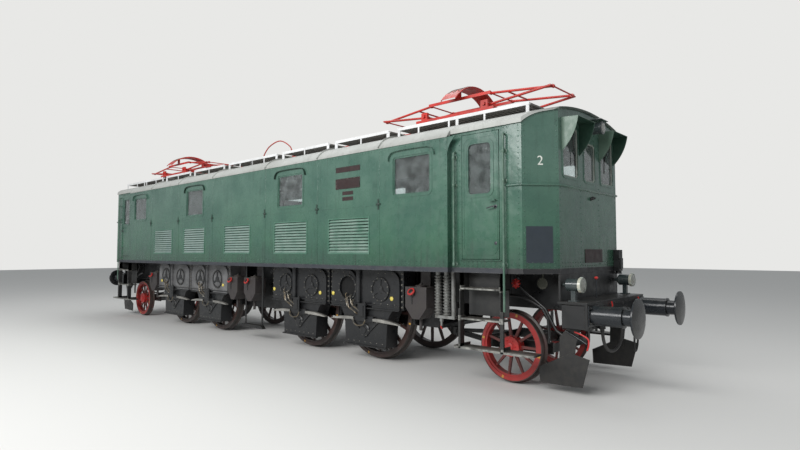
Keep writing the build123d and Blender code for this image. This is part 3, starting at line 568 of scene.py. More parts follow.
def round_cover(x):
    """A round cover: a disc with a rim, and on it a hub and three arms."""
    middle = np.array((x, GEAR_Y[1], COVER[1]), float)
    forms = [turned([(-4, 210), (20, 210), (24, 206), (24, 178), (8, 174)], middle, (0, -1, 0), 48),
             turned([(6, 68), (22, 68), (24, 66), (24, 40), (30, 36), (34, 20)], middle, (0, -1, 0), 32)]
    forms += [spoke(middle, angle, (50, 186), 23, (-6.0, -22.0)) for angle in np.radians((90.0, 210.0, 330.0))]
    return forms


cases = []
for x in CASES_X:
    low_half = [(680, LEDGE_Z + 5)] + bow((680, LEDGE_Z), (560, 790), (520, 610)) + [(500, 268)]
    low_half += [(-a, b) for a, b in reversed(low_half)]
    cases += [slab((x - 900, x + 900), (GEAR_Y[0], PANEL_BACK), (LEDGE_Z, GEAR_TOP)),
              plate([(x + a, b) for a, b in low_half], (GEAR_Y[0], PANEL_BACK))]
    for side_sign in (-1, 1):
        arch = ([(200, LEDGE_Z)] + bow((200, 1375), (258.6, 1516.4), (400, 1575))
                + bow((640, 1575), (781.4, 1516.4), (840, 1375)) + [(840, LEDGE_Z)])
        arch = [(x + side_sign * a, b) for a, b in arch]
        middle = x + side_sign * COVER[0]
        if (x, side_sign) == (MISSING_AT, -1):
            floor_at = GEAR_Y[1] - PANEL_BACK
            cases += [holed_plate(arch, (middle, COVER[1], 205.0), (PANEL_BACK, GEAR_Y[1]), 38),
                      turned([(floor_at, 235), (14, 235), (14, 204), (floor_at, 204)], (middle, GEAR_Y[1], COVER[1]),
                             (0, -1, 0), 48)]
        else:
            cases += [plate(arch, (PANEL_BACK, GEAR_Y[1]))] + round_cover(middle)
        rib = [(0, 413), (side_sign * 330, 693), (side_sign * 310, 718), (0, 448)]
        bar = bow((230, 757), (530, 753), (830, 705)) + [(830, 691), (230, 715)]
        cases += [plate([(x + a, b) for a, b in rib], (PANEL_BACK + 5, PANEL_BACK - 20)),
                  plate([(x + side_sign * a, b) for a, b in bar], (PANEL_BACK + 5, PANEL_BACK - 65))]
    cases += [slab((x - 852, x + 852), (GEAR_Y[1] + 5, GEAR_Y[1] - reach), (top - 18, top))
              for top, reach in ((LEDGE_Z + 62, 22), (LEDGE_Z, 30))]
    cases += [slab((x - 530, x + 530), (PANEL_BACK + 20, PANEL_BACK - 28), (258, 282)),
              turned([(0, 120), (18, 112), (30, 92), (30, 60), (44, 56)], (x, PANEL_BACK, 543), (0, -1, 0), 40),
              slab((x - 240, x + 240), (PANEL_BACK + 5, PANEL_BACK - 50), (695, 787)),
              rod((x - 150, GEAR_Y[1] + 28, 1010), (x - 150, GEAR_Y[1] + 28, GEAR_TOP), 52),
              slab((x - 90, x + 40), (GEAR_Y[1], GEAR_Y[1] - 60), (787, LEDGE_Z + 70)),
              turned([(0, 24), (230, 24), (236, 40), (276, 40), (282, 18), (300, 18)], (x + 72, GEAR_Y[1] - 42, 737),
                     (0, 0, 1))]
shape("gear_cases", cases, 0.002)

# Roof: walkways of slats laid across on posts, the power line on ribbed insulators, and the pantographs' bases of
# welded bars on insulators of their own.
WALK_Y = (1135, 700)
WALK_TOP = 3950
walk = []
for start, stop in ((-6830, -4380), (-4180, -2810), (-2610, -1150), (-950, 950), (1150, 2610), (2810, 4180),
                    (4380, 6830)):
    count = int((stop - start - 100) / 78)
    gap = (start + stop - count * 78 + 48) / 2
    edges_x = [start] + [gap + 78 * number + side for number in range(count) for side in (0, 30)] + [stop]
    boards = [slab(pair, (WALK_Y[1] + 25, WALK_Y[0] - 25), (WALK_TOP - 25, WALK_TOP))
              for pair in zip(edges_x[::2], edges_x[1::2])]
    boards += [slab((start, stop), pair, (WALK_TOP - 25, WALK_TOP)) for pair in ((1110, 1135), (700, 725))]
    boards.append(slab((start, stop), (1135, 1141), (WALK_TOP - 35, WALK_TOP + 15)))
    posts = 2 if stop - start < 1500 else 3
    for number in range(posts):
        x = start + 30 + (stop - start - 60) * number / (posts - 1)
        boards += [slab((x - 25, x + 25), (1123, 1135), (crown(1135) - 10, WALK_TOP - 25)),
                   slab((x - 25, x + 25), (700, 712), (crown(700) - 10, WALK_TOP - 25))]
    walk += mirrored(boards, ends=(1,))
shape("roof_walkways", walk, 0)
RIBS = [(0, 60), (24, 60), (30, 34), (50, 34), (64, 56), (72, 34), (96, 34), (110, 52), (118, 32), (142, 32), (156, 48),
        (164, 26)]
line_forms = [rod((-4200, 0, 4150), (4200, 0, 4150), 18)]
line_forms += [turned(RIBS + [(192, 26)], (x, 0, 3958), (0, 0, 1)) for x in (-3500, -1750, 0, 1750, 3500)]
shape("roof_power_line", line_forms, 0)
BASE_Z = (4150, 4200)
SHAFT_Z = 4258
PAN_MIDDLE = 5080
wide = [slab((PAN_MIDDLE - 770, PAN_MIDDLE + 770), (-40, 40), BASE_Z)]
narrow = [slab((PAN_MIDDLE - 800, PAN_MIDDLE + 800), (480, 540), BASE_Z),
          rod((PAN_MIDDLE - 350, 110, SHAFT_Z - 10), (PAN_MIDDLE + 350, 110, SHAFT_Z - 10), 46)]
for way in (-1, 1):
    x = PAN_MIDDLE + way * 740
    wide += [slab((x - 30, x + 30), (-480, 480), BASE_Z),
             slab((PAN_MIDDLE + way * 240, PAN_MIDDLE + way * 300), (-110, 110), (BASE_Z[0], SHAFT_Z - 10))]
    ribbed = [(distance * 1.15, radius * 1.25) for distance, radius in RIBS] + [(BASE_Z[0] - crown(510) + 20, 40)]
    narrow.append(turned(ribbed, (x, 510, crown(510) - 20), (0, 0, 1)))
    x = PAN_MIDDLE + way * 620
    narrow += [slab((x + left, x + right), (485, 535), (SHAFT_Z + low, SHAFT_Z + top))
               for left, right, low, top in ((-65, 65, BASE_Z[1] - SHAFT_Z, -27), (-65, 65, 27, 65),
                                             (-65, -27, -27, 27), (27, 65, -27, 27))]
shape("pantograph_bases", mirrored(wide, sides=(1,)) + mirrored(narrow), 0)


# Green paint of the body, cabs and doors: sheet steel with several coats of gloss paint put on by brush.
# It turns lighter and bluer high up, which is painted sheen, and it has dull and shiny patches, thin streaks of dirt
# that run down, and grime near the deck.
def axes(tree, vector):
    """The three parts of a vector, by name."""
    return add_node(tree, "ShaderNodeSeparateXYZ", {"Vector": vector}).outputs


def surface_way(tree):
    """The way that the surface faces."""
    return add_node(tree, "ShaderNodeNewGeometry").outputs["Normal"]


def maths(tree, operation, first, second=0.0, clamp=False):
    """The result of one maths node."""
    return add_node(tree, "ShaderNodeMath", {0: first, 1: second}, operation=operation, use_clamp=clamp).outputs[0]


def ramp(tree, value, low, high, to_low=0.0, to_high=1.0):
    """A value moved from one span to another, and held inside it."""
    return add_node(tree, "ShaderNodeMapRange", {"Value": value, "From Min": low, "From Max": high, "To Min": to_low,
                                                 "To Max": to_high}).outputs[0]


def new_group(name, outs, **ins):
    """A shader node group with inputs from their first values, and outputs for a colour and the named numbers."""
    tree = bpy.data.node_groups.new(name, "ShaderNodeTree")
    for key, value in ins.items():
        kind = "NodeSocketColor" if isinstance(value, tuple) else "NodeSocketFloat"
        tree.interface.new_socket(key.replace("_", " "), in_out="INPUT", socket_type=kind).default_value = value
    tree.interface.new_socket("Colour", in_out="OUTPUT", socket_type="NodeSocketColor")
    for key in outs:
        tree.interface.new_socket(key, in_out="OUTPUT", socket_type="NodeSocketFloat")
    return tree, tree.nodes.new("NodeGroupInput").outputs, tree.nodes.new("NodeGroupOutput").inputs


GREY = (0.5, 0.5, 0.5, 1.0)
patches, p_in, p_out = new_group("patches", ("Roughness", "Height"), Colour=GREY, Second_colour=GREY, Scale=2.0,
                                 Amount=0.5, Dull=0.35, Shiny=0.2)
place = object_place(patches)
spread = ramp(patches, noise(patches, place, p_in["Scale"], 5.0, 0.6), 0.36, 0.66, 0.0, p_in["Amount"])
tinted = mix(patches, spread, p_in["Colour"], p_in["Second colour"])
small = noise(patches, place, 9.0, 4.0, 0.55)
gloss = ramp(patches, small, 0.3, 0.7, p_in["Shiny"], p_in["Dull"])
patches.links.new(tinted, p_out["Colour"])
patches.links.new(gloss, p_out["Roughness"])
patches.links.new(small, p_out["Height"])

grime, g_in, g_out = new_group("grime", (), Colour=GREY, Dirt=GREY, Streaks=0.3, Low_edge=1.7, Fade_height=0.4,
                               Low_dirt=0.6)
place = object_place(grime)
stretched = add_node(grime, "ShaderNodeMapping", {"Vector": place, "Scale": (7.0, 7.0, 0.55)})
runs = noise(grime, stretched.outputs[0], 2.2, 6.0, 0.65)
run_mask = ramp(grime, runs, 0.54, 0.74, 0.0, g_in["Streaks"])
above = maths(grime, "SUBTRACT", axes(grime, place)["Z"], g_in["Low edge"])
low = ramp(grime, maths(grime, "DIVIDE", above, g_in["Fade height"]), 0.0, 1.0, g_in["Low dirt"], 0.0)
both = maths(grime, "ADD", maths(grime, "MULTIPLY", low, runs), run_mask, clamp=True)
grime.links.new(mix(grime, both, g_in["Colour"], g_in["Dirt"]), g_out["Colour"])

edges, e_in, e_out = new_group("worn edges", (), Colour=GREY, Bare=GREY, Width=0.006, Amount=0.6)
rounded = add_node(edges, "ShaderNodeBevel", {"Radius": e_in["Width"]}, samples=4)
turn = add_node(edges, "ShaderNodeVectorMath", {0: rounded.outputs[0], 1: surface_way(edges)}, operation="DOT_PRODUCT")
bent = ramp(edges, turn.outputs["Value"], 0.99, 0.86)
chipped = ramp(edges, noise(edges, object_place(edges), 14.0, 5.0, 0.7), 0.45, 0.6, 0.0, e_in["Amount"])
edge_mask = maths(edges, "MULTIPLY", bent, chipped, clamp=True)
edges.links.new(mix(edges, edge_mask, e_in["Colour"], e_in["Bare"]), e_out["Colour"])


def placed(tree, group, **values):
    """A node group in a material; underscores in the names of its inputs stand for spaces."""
    node = add_node(tree, "ShaderNodeGroup", node_tree=group)
    for key, value in values.items():
        socket = node.inputs[key.replace("_", " ")]
        if isinstance(value, bpy.types.NodeSocket):
            tree.links.new(value, socket)
        else:
            socket.default_value = value
    return node


def patch(tree, colour, second, scale, amount, dull, shiny):
    """Patches of a second tone in a colour, and of a dull and a shiny roughness."""
    return placed(tree, patches, Colour=colour, Second_colour=second, Scale=scale, Amount=amount, Dull=dull,
                  Shiny=shiny)


def coat(tree, shader, coloured, rough):
    """Gives the shader the colour of one group and the roughness of another."""
    tree.links.new(coloured.outputs["Colour"], shader.inputs["Base Color"])
    tree.links.new(rough.outputs["Roughness"], shader.inputs["Roughness"])


def plain_paint(name, colour, second, scale, amount, dull, shiny):
    """A paint with patches of two tones, between a dull and a shiny roughness."""
    material, tree, shader = new_material(name)
    patchy = patch(tree, colour, second, scale, amount, dull, shiny)
    coat(tree, shader, patchy, patchy)
    return material


def paint(names, material):
    """Gives pieces a material: the fuller shape where there is one, and the CAD node."""
    for name in names:
        for thing in (shapes.get(name), nodes.get(name)):
            if thing:
                thing.data.materials.clear()
                thing.data.materials.append(material)


def add_bump(tree, shader, height, strength, distance):
    """Lets a height value roughen the shader's normal."""
    bump = add_node(tree, "ShaderNodeBump", {"Height": height, "Strength": strength, "Distance": distance})
    tree.links.new(bump.outputs[0], shader.inputs["Normal"])


green_paint, tree, shader = new_material("green gloss paint")
spot = object_place(tree)
# Painted sheen: the green goes from a darker tone low down to a lighter, bluer tone high up.
green = mix(tree, ramp(tree, axes(tree, spot)["Z"], 1.9, 3.3), linear(55, 97, 75), linear(82, 112, 99))
patchy = patch(tree, green, linear(50, 85, 73), 1.3, 0.75, 0.42, 0.16)
soiled = placed(tree, grime, Colour=patchy.outputs["Colour"], Dirt=linear(38, 52, 44), Streaks=0.34, Low_edge=1.66,
                Fade_height=0.5, Low_dirt=0.9)
coat(tree, shader, soiled, patchy)
shader.inputs["Coat Weight"].default_value = 0.5
shader.inputs["Coat Roughness"].default_value = 0.10
add_bump(tree, shader, noise(tree, spot, 2.4, 3.0), 0.5, 0.04)
paint([f"cab_shell_{end}" for end in "12"] + ["body_side_left", "body_side_right", "gussets"]
      + [f"cab_door_{end}_{side}" for end in "12" for side in ("left", "right")], green_paint)

# The sunshades are one green painted in two tones: pale grey green outside, which is painted light, and dark green
# inside, which is painted shade under the hood. The inner faces are those that look down or towards the window.
shade_paint, tree, shader = new_material("sunshade paint with painted light and shade")
at = axes(tree, object_place(tree))
side = axes(tree, surface_way(tree))
to_middle = maths(tree, "SUBTRACT", maths(tree, "ABSOLUTE", at["Y"]), 0.6275)
out_y = maths(tree, "MULTIPLY", side["Y"], maths(tree, "SIGN", at["Y"]))
is_shaded_inner = maths(tree, "LESS_THAN", maths(tree, "MULTIPLY", to_middle, out_y), -0.05)
inside = maths(tree, "MAXIMUM", is_shaded_inner, maths(tree, "LESS_THAN", side["Z"], -0.5))
# Painted light and shade: pale grey green on the outer faces, dark green on the inner faces under the hood.
lit_and_shaded_tone = mix(tree, inside, linear(96, 118, 104), linear(34, 62, 50))
patchy = patch(tree, lit_and_shaded_tone, linear(72, 96, 82), 5.0, 0.4, 0.5, 0.25)
coat(tree, shader, patchy, patchy)
add_bump(tree, shader, patchy.outputs["Height"], 0.1, 0.01)
paint(["sunshades"], shade_paint)


# Rivets and joint strips of the body: round heads along the bottom, the corner columns and the eaves, and flat strips
# over the upright joints between the side sheets. All are painted with the body, but for the darker joint plates.
SIDE_Y = 1.483
CAB_SIDE_Y = 1.383
HALF_BODY = 5.68
BEVEL_X = 6.84
FRONT_X = 7.18
FRONT_Y = 1.0
JOINTS_X = (-4.28, -2.71, -1.05, 1.05, 2.71, 4.28)
BEVEL_AT = np.array([BEVEL_X, CAB_SIDE_Y])
RIVET = 0.0085
PITCH = 0.075
LOW_ROWS = (1.70, 1.75)
bevel_run = np.array([FRONT_X - BEVEL_X, FRONT_Y - CAB_SIDE_Y])
bevel_out = np.array([-bevel_run[1], bevel_run[0]]) / np.linalg.norm(bevel_run)
side_rows = [in_row(np.arange(-HALF_BODY + 0.04, HALF_BODY - 0.03, PITCH), SIDE_Y, z) for z in (1.700, 1.752, 3.545)]
side_rows += [in_row(x, SIDE_Y, np.arange(1.82, 3.52, PITCH)) for x in (-HALF_BODY + 0.03, HALF_BODY - 0.03)]
cab_rows = [in_row(x, CAB_SIDE_Y, np.arange(1.72, 3.60, PITCH)) for x in (5.75, 5.83, 6.56, 6.62, 6.79)]
cab_rows += [in_row(np.arange(5.90, 6.55, PITCH), CAB_SIDE_Y, z) for z in LOW_ROWS]
bevel_rows = [in_row(*(BEVEL_AT + bevel_run * share), np.arange(1.72, 3.72, 0.072)) for share in (0.06, 0.94)]
bevel_rows += [in_row(*(BEVEL_AT + bevel_run * share), LOW_ROWS) for share in np.linspace(0.14, 0.86, 6)]
front_rows = [in_row(FRONT_X, y, np.arange(1.72, 2.88, 0.08)) for y in (0.965, 0.32)]
front_rows += [in_row(FRONT_X, np.arange(0.04, 0.96, 0.08), z) for z in LOW_ROWS]
piece("body_rivets", mirrored([domes(np.vstack(side_rows), (0, 1, 0), RIVET)], ends=(1,))
      + mirrored([domes(np.vstack(cab_rows), (0, 1, 0), RIVET), domes(np.vstack(bevel_rows), (*bevel_out, 0), RIVET),
                  domes(np.vstack(front_rows), (1, 0, 0), RIVET)]), green_paint)


def on_sheet(x, z, lift):
    """A flat bar on the side sheets, between two places along and up; lift is how far it stands off them."""
    return brick((x[0], SIDE_Y - 0.002, z[0]), (x[1], SIDE_Y + lift, z[1]))


strips = [on_sheet((x - 0.022, x + 0.022), (1.69, 3.56), 0.004) for x in JOINTS_X]
strips += [on_sheet((start + 0.03, stop - 0.03), (2.648, 2.656), 0.003) for start, stop in zip(JOINTS_X, JOINTS_X[1:])]
piece("joint_strips", mirrored(strips, ends=(1,)), green_paint, bevel=0.002)
LATCH_Z = 2.672
latches = []
for x in JOINTS_X:
    latches += [on_sheet((x - 0.016, x + 0.016), (LATCH_Z - 0.085, LATCH_Z + 0.085), 0.014),
                on_sheet((x - 0.050, x + 0.050), (LATCH_Z - 0.016, LATCH_Z + 0.016), 0.012),
                turned([(0, 0.024), (0.020, 0.024), (0.026, 0.014)], (x, SIDE_Y, LATCH_Z), (0, 1, 0), 16)]
latch_paint = plain_paint("dark joint plate", linear(34, 52, 44), linear(60, 80, 70), 20.0, 0.5, 0.5, 0.3)
piece("joint_plates", mirrored(latches, ends=(1,)), latch_paint, bevel=0.002)

# Belt rail of each cab: a half round bar that runs from the door post over the slanting corner and across the front.
# It is riveted on and painted with the body.
half_round = [(-0.024 * math.sin(a), 0.020 * math.cos(a)) for a in np.linspace(0, np.pi, 9)]
half_round = [(0.004, 0.020)] + half_round + [(0.004, -0.020)]
BELT_Z = 2.793
corners = [(6.60, CAB_SIDE_Y), (BEVEL_X + 0.002, CAB_SIDE_Y), (FRONT_X, FRONT_Y + 0.002)]
around = [(x, y, BELT_Z) for x, y in corners] + [(x, -y, BELT_Z) for x, y in reversed(corners)]
piece("belt_rails", mirrored([carried(half_round, around)], sides=(1,)), green_paint)

# Frames of the windows: flat steel frames screwed round each opening and painted with the body, sashes of the side
# windows, pale strips of rubber that hold the front glass, and rain hoods bent from sheet over the side windows.
SIDE_WINDOWS = ((-4.983, 0.765, 2.783, 3.398, 0.06), (-1.89, 0.79, 2.765, 3.39, 0.03),
                (1.89, 0.79, 2.765, 3.39, 0.03), (4.983, 0.765, 2.783, 3.398, 0.06))
FRONT_WINDOWS = ((-0.637, 0.46, 2.932, 3.628, 0.04), (0.0, 0.376, 2.923, 3.488, 0.06),
                 (0.637, 0.46, 2.932, 3.628, 0.04))


def round_rectangle(middle, width, bottom, top, radius, grow):
    """Points round a rectangle with round corners: each corner is a quarter circle."""
    radius = radius + grow
    a = np.linspace(0, np.pi / 2, 6)
    right, left = middle + width / 2 + grow - radius, middle - width / 2 - grow + radius
    high, low = top + grow - radius, bottom - grow + radius
    centres = ((right, high, 0.0), (left, high, 0.5), (left, low, 1.0), (right, low, 1.5))
    return np.vstack([np.column_stack([x + radius * np.cos(a + q * np.pi), z + radius * np.sin(a + q * np.pi)])
                      for x, z, q in centres])


def frame_of(outline_in, outline_out, depths, lay):
    """A flat frame between two outlines: four rings of points, joined into a closed band; lay puts it in space."""
    near, far = depths
    rings = [(outline_in, near), (outline_in, far), (outline_out, far), (outline_out, near)]
    count = len(outline_in)
    points = np.vstack([lay(outline, depth) for outline, depth in rings])
    ring = np.arange(4)[:, None] * count
    next_ring = np.roll(np.arange(4), -1)[:, None] * count
    here = np.arange(count)[None, :]
    after = (here + 1) % count
    faces = np.stack([ring + here, ring + after, next_ring + after, next_ring + here], axis=-1).reshape(-1, 4)
    return points, faces.tolist()


def on_side(outline, depth):
    """Lays an outline of x and z on a wall that faces Y, at that y."""
    return in_row(outline[:, 0], depth, outline[:, 1])


def on_front(outline, depth):
    """Lays an outline of y and z on a wall that faces X, at that x."""
    return in_row(depth, outline[:, 0], outline[:, 1])


def band(window, grow, wall, depths, lay=on_side):
    """A frame round an opening: how far its two edges lie outside it, and its two depths from the wall's face."""
    return frame_of(round_rectangle(*window, grow[0]), round_rectangle(*window, grow[1]),
                    (wall + depths[0], wall + depths[1]), lay)


side_frames = [band(window, (0.0, 0.032), SIDE_Y, (-0.004, 0.007)) for window in SIDE_WINDOWS]
sashes = [band(window, (-0.026, 0.001), SIDE_Y, (-0.034, -0.006)) for window in SIDE_WINDOWS]
front_frames = [band(window, (0.0, 0.03), FRONT_X, (-0.004, 0.008), on_front) for window in FRONT_WINDOWS]
seals = [band(window, (-0.016, 0.001), FRONT_X, (-0.018, -0.004), on_front) for window in FRONT_WINDOWS]
piece("side_window_frames", mirrored(side_frames, ends=(1,)), green_paint)
piece("front_window_frames", mirrored(front_frames, sides=(1,)), green_paint)
pale_seal = plain_paint("pale window seal", linear(176, 182, 174), linear(112, 124, 112), 8.0, 0.7, 0.75, 0.5)
piece("front_window_seals", mirrored(seals, sides=(1,)), pale_seal)
piece("side_window_sashes", mirrored(sashes, ends=(1,)), green_paint)
hoods = []
for middle, width, bottom, top, radius in SIDE_WINDOWS:
    half = width / 2 + 0.085
    rise = [(half, -0.055), (half - 0.012, 0.010), (half - 0.075, 0.072), (half - 0.20, 0.092), (0.0, 0.096)]
    route = [(middle - a, SIDE_Y, top + b) for a, b in rise] + [(middle + a, SIDE_Y, top + b) for a, b in rise[-2::-1]]
    hoods.append(carried([(-0.005, 0.002), (-0.005, -0.042), (0.003, -0.042), (0.005, 0.002)],
                         smooth_path(route, 44), (0, -1, 0)))
# The hoods over the two middle side windows take a dark green that is painted shade: the dark line the hood throws. The
# cab windows' hoods keep the body's green.
shaded_hood_paint = plain_paint("hood paint darkened as painted shade", linear(36, 58, 48), linear(26, 42, 36), 9.0, 0.6, 0.5, 0.25)
piece("window_hoods", mirrored(hoods[1:3], ends=(1,)), shaded_hood_paint)
piece("cab_window_hoods", mirrored(hoods[::3], ends=(1,)), green_paint)

# Window glass: thin panes held by their rubber, with an uneven film of dust. The doors' panes and their frames swing
# with the doors.
glass, tree, shader = new_material("dusty window glass")
film = noise(tree, object_place(tree), 6.0, 6.0)
tree.links.new(ramp(tree, film, 0.3, 0.75, 0.02, 0.07), shader.inputs["Roughness"])
tree.links.new(mix(tree, film, linear(236, 244, 244), linear(222, 232, 232)), shader.inputs["Base Color"])
tree.links.new(ramp(tree, film, 0.35, 0.7, 0.98, 0.90), shader.inputs["Transmission Weight"])
shader.inputs["IOR"].default_value = 1.3
shader.inputs["Coat Weight"].default_value = 0.5
shader.inputs["Coat Roughness"].default_value = 0.03
paint(["window_glass"], glass)
DOOR_WINDOW = (6.168, 0.416, 2.694, 3.450, 0.08)
CORNERS = [(f"{end_name}_{side_name}", end, side_sign) for end_name, end in ENDS
           for side_name, side_sign in (("right", -1), ("left", 1))]
outline = round_rectangle(*DOOR_WINDOW, 0.001)
pane = (np.vstack([on_side(outline, CAB_SIDE_Y - 0.018), on_side(outline, CAB_SIDE_Y - 0.024)]),
        ring_faces(2, len(outline)))
trim = [band(DOOR_WINDOW, (0.0, 0.030), CAB_SIDE_Y, (-0.004, 0.007)),
        band(DOOR_WINDOW, (-0.022, 0.001), CAB_SIDE_Y, (-0.016, 0.003))]
for corner, end, side_sign in CORNERS:
    door = f"cab_door_{corner}"
    piece(f"door_pane_{corner}", mirrored([pane], (end,), (side_sign,)), glass, door)
    piece(f"door_trim_{corner}", mirrored(trim, (end,), (side_sign,)), green_paint, door)

# Plates and painted marks: blank cast plates with a raised rim on the sides and the front, the grey painted square on
# the slanting corner, and the cab's number beside it.
plate_iron, tree, shader = new_material("dark plate")
patchy = patch(tree, linear(40, 26, 26), linear(56, 38, 36), 14.0, 0.6, 0.6, 0.35)
worn = placed(tree, edges, Colour=patchy.outputs["Colour"], Bare=linear(190, 184, 174), Width=0.003, Amount=0.8)
coat(tree, shader, worn, patchy)
PLATE_X = (3.228, 3.841)
LABEL_X = (3.400, 3.671)
plates = [on_sheet(PLATE_X, (2.988, 3.170), 0.008),
          band((3.5345, 0.585, 3.001, 3.157, 0.010), (0.0, 0.012), SIDE_Y, (0.006, 0.013)),
          on_sheet(PLATE_X, (3.280, 3.372), 0.006), on_sheet(LABEL_X, (2.880, 2.942), 0.005),
          on_sheet(LABEL_X, (2.782, 2.846), 0.005)]
front_plate = [brick((FRONT_X - 0.002, -0.21, 1.740), (FRONT_X + 0.010, 0.40, 1.935))]
piece("side_plates", at_both_ends(plates, -1), plate_iron, bevel=0.002)
piece("front_plates", at_both_ends(front_plate), plate_iron, bevel=0.002)

grey_square = plain_paint("grey painted square", linear(46, 54, 62), linear(42, 50, 56), 7.0, 0.6, 0.6, 0.4)


def on_bevel(along, up, lift):
    """A place on the slanting corner panel of end 2, left side: a share of its width, a height, and a lift off it."""
    return (*(BEVEL_AT + bevel_run * along + bevel_out * lift), up)


square = [on_bevel(along, up, lift) for lift in (0.0, 0.0015)
          for along, up in ((0.10, 1.748), (0.82, 1.748), (0.82, 2.236), (0.10, 2.236))]
piece("grey_squares", mirrored([(np.array(square), ring_faces(2, 4))]), grey_square, smooth=False)

white_mark = plain_paint("white painted number", linear(226, 228, 220), linear(170, 180, 170), 20.0, 0.4, 0.6, 0.4)
for corner, end, side_sign in CORNERS:
    words = bpy.data.curves.new("number", "FONT")
    words.body = corner[0]
    words.size = 0.178
    words.extrude = 0.001
    words.align_x = "CENTER"
    flat_text = bpy.data.objects.new("number", words)
    flat_mesh = bpy.data.meshes.new_from_object(flat_text)
    bpy.data.objects.remove(flat_text)
    letter = np.array([vertex.co[:] for vertex in flat_mesh.vertices])
    out = np.array([bevel_out[0] * end, bevel_out[1] * side_sign, 0.0])
    right = np.cross((0.0, 0.0, 1.0), out)
    start = np.array(on_bevel(0.5, 3.056, 0.0015)) * np.array((end, side_sign, 1.0))
    laid = start + letter[:, :1] * right + letter[:, 1:2] * np.array((0, 0, 1.0)) + letter[:, 2:3] * out
    faces = [list(face.vertices) for face in flat_mesh.polygons]
    bpy.data.meshes.remove(flat_mesh)
    piece(f"cab_number_{corner}", [(laid, faces)], white_mark, smooth=False)

# Roof: steel sheets in sections with flat cover strips, painted off-white at the rounded eaves and sooty on the crown.
roof_paint, tree, shader = new_material("weathered roof paint")
place = axes(tree, object_place(tree))
tone = mix(tree, ramp(tree, place["Z"], 3.72, 3.92), linear(182, 184, 180), linear(132, 132, 128))
# Faces at the ends, below the roof's sweep, take a dark green: the cab's green, darkened as painted shade of the front
# edge.
end_turn = maths(tree, "ABSOLUTE", axes(tree, surface_way(tree))["X"])
off_middle = maths(tree, "ABSOLUTE", place["Y"])
under_sweep = maths(tree, "LESS_THAN", place["Z"], ramp(tree, off_middle, 0.98, 1.383, 3.86, 3.60))
low_end = maths(tree, "MAXIMUM", under_sweep, maths(tree, "LESS_THAN", off_middle, 0.98))
shaded_green_end = maths(tree, "MULTIPLY", maths(tree, "GREATER_THAN", end_turn, 0.7), low_end)
tone = mix(tree, shaded_green_end, tone, linear(44, 62, 52))
patchy = patch(tree, tone, linear(140, 142, 136), 1.8, 0.4, 0.75, 0.5)
soiled = placed(tree, grime, Colour=patchy.outputs["Colour"], Dirt=linear(92, 88, 80), Streaks=0.22, Low_edge=3.56,
                Fade_height=0.10, Low_dirt=0.5)
coat(tree, shader, soiled, patchy)
add_bump(tree, shader, patchy.outputs["Height"], 0.15, 0.01)
paint(["roof"], roof_paint)
CROWN_R = 4.676
CROWN_TOP = 3.958
COVE = ((1.2, 3.803), (1.335, 3.745), (1.43, 3.66), (1.492, 3.585))
seams = []
for x in JOINTS_X:
    cove = np.array([(x, y, z) for y, z in COVE])
    crest = arc_across(x, CROWN_TOP, CROWN_R, 1.2, 25, 0.0)[1:-1]
    seams.append(carried(flat(0.03, -0.004, 0.006), np.vstack([cove[::-1] * (1, -1, 1), crest, cove]), (1, 0, 0)))
piece("roof_seams", seams, roof_paint)

# Settled dust and worn paint of everything under the deck. Dust lies on faces that look up, and edges are rubbed bare.
dusting, d_in, d_out = new_group("settled dust", (), Colour=GREY, Dust=GREY, Amount=0.5, Film=0.1)
flat_top = ramp(dusting, axes(dusting, surface_way(dusting))["Z"], 0.25, 0.95, d_in["Film"], d_in["Amount"])
thick = ramp(dusting, noise(dusting, object_place(dusting), 5.0, 6.0, 0.65), 0.3, 0.62)
lies = maths(dusting, "MULTIPLY", flat_top, thick, clamp=True)
dusting.links.new(mix(dusting, lies, d_in["Colour"], d_in["Dust"]), d_out["Colour"])

STEEL = linear(150, 146, 138)
DUST = linear(118, 112, 102)


def weathered(name, colour, second, scale=3.0, amount=0.6, dull=0.65, shiny=0.35, bare=STEEL, width=0.005, chips=0.5,
              dust=DUST, dusty=0.5, film=0.08, metal=0.0):
    """A painted or bare iron surface: patches of two tones, rubbed edges, settled dust and a fine grain. The colour is
    a tone, or a function that makes it from the place in the material's tree."""
    material, tree, shader = new_material(name)
    if callable(colour):
        colour = colour(tree)
    patchy = patch(tree, colour, second, scale, amount, dull, shiny)
    rubbed = placed(tree, edges, Colour=patchy.outputs["Colour"], Bare=bare, Width=width, Amount=chips)
    settled = placed(tree, dusting, Colour=rubbed.outputs["Colour"], Dust=dust, Amount=dusty, Film=film)
    coat(tree, shader, settled, patchy)
    shader.inputs["Metallic"].default_value = metal
    add_bump(tree, shader, patchy.outputs["Height"], 0.12, 0.01)
    return material


running_black = weathered("greasy black iron", linear(16, 18, 20), linear(28, 28, 28), scale=4.0, amount=0.7,
                          dull=0.55, shiny=0.25, chips=0.35, dust=linear(70, 67, 62), film=0.03)
paint(["frame_plates", "frame_stretchers", "axle_boxes", "brake_gear", "air_reservoirs", "lead_truck_1",
       "lead_truck_2", "drawhooks", "track_magnet", "brake_pipes", "brake_fittings", "buffer_beams",
       "front_platforms"], running_black)
paint(["rail_guards"], weathered("scraped guard iron", linear(24, 25, 26), linear(40, 38, 36), scale=14.0, amount=0.9,
                                 dull=0.6, shiny=0.3, bare=linear(130, 128, 122), width=0.006, chips=0.7,
                                 dust=linear(96, 92, 86), dusty=0.4, film=0.08))
paint(["traction_motors", "transformer"],
      weathered("bare cast iron", linear(40, 40, 42), linear(30, 30, 32), scale=6.0, dull=0.8, shiny=0.6))

# Deck with its deep blue grey edge, which runs round the whole body under the green sheets: welded plate with two thin
# beads and worn edges.
def sill_tones(tree):
    """Blue grey along the sides, and nearly black beyond 6.6 m from the middle, in front of the cab doors."""
    along = maths(tree, "ABSOLUTE", axes(tree, object_place(tree))["X"])
    return mix(tree, maths(tree, "GREATER_THAN", along, 6.6), linear(50, 54, 62), linear(24, 26, 30))


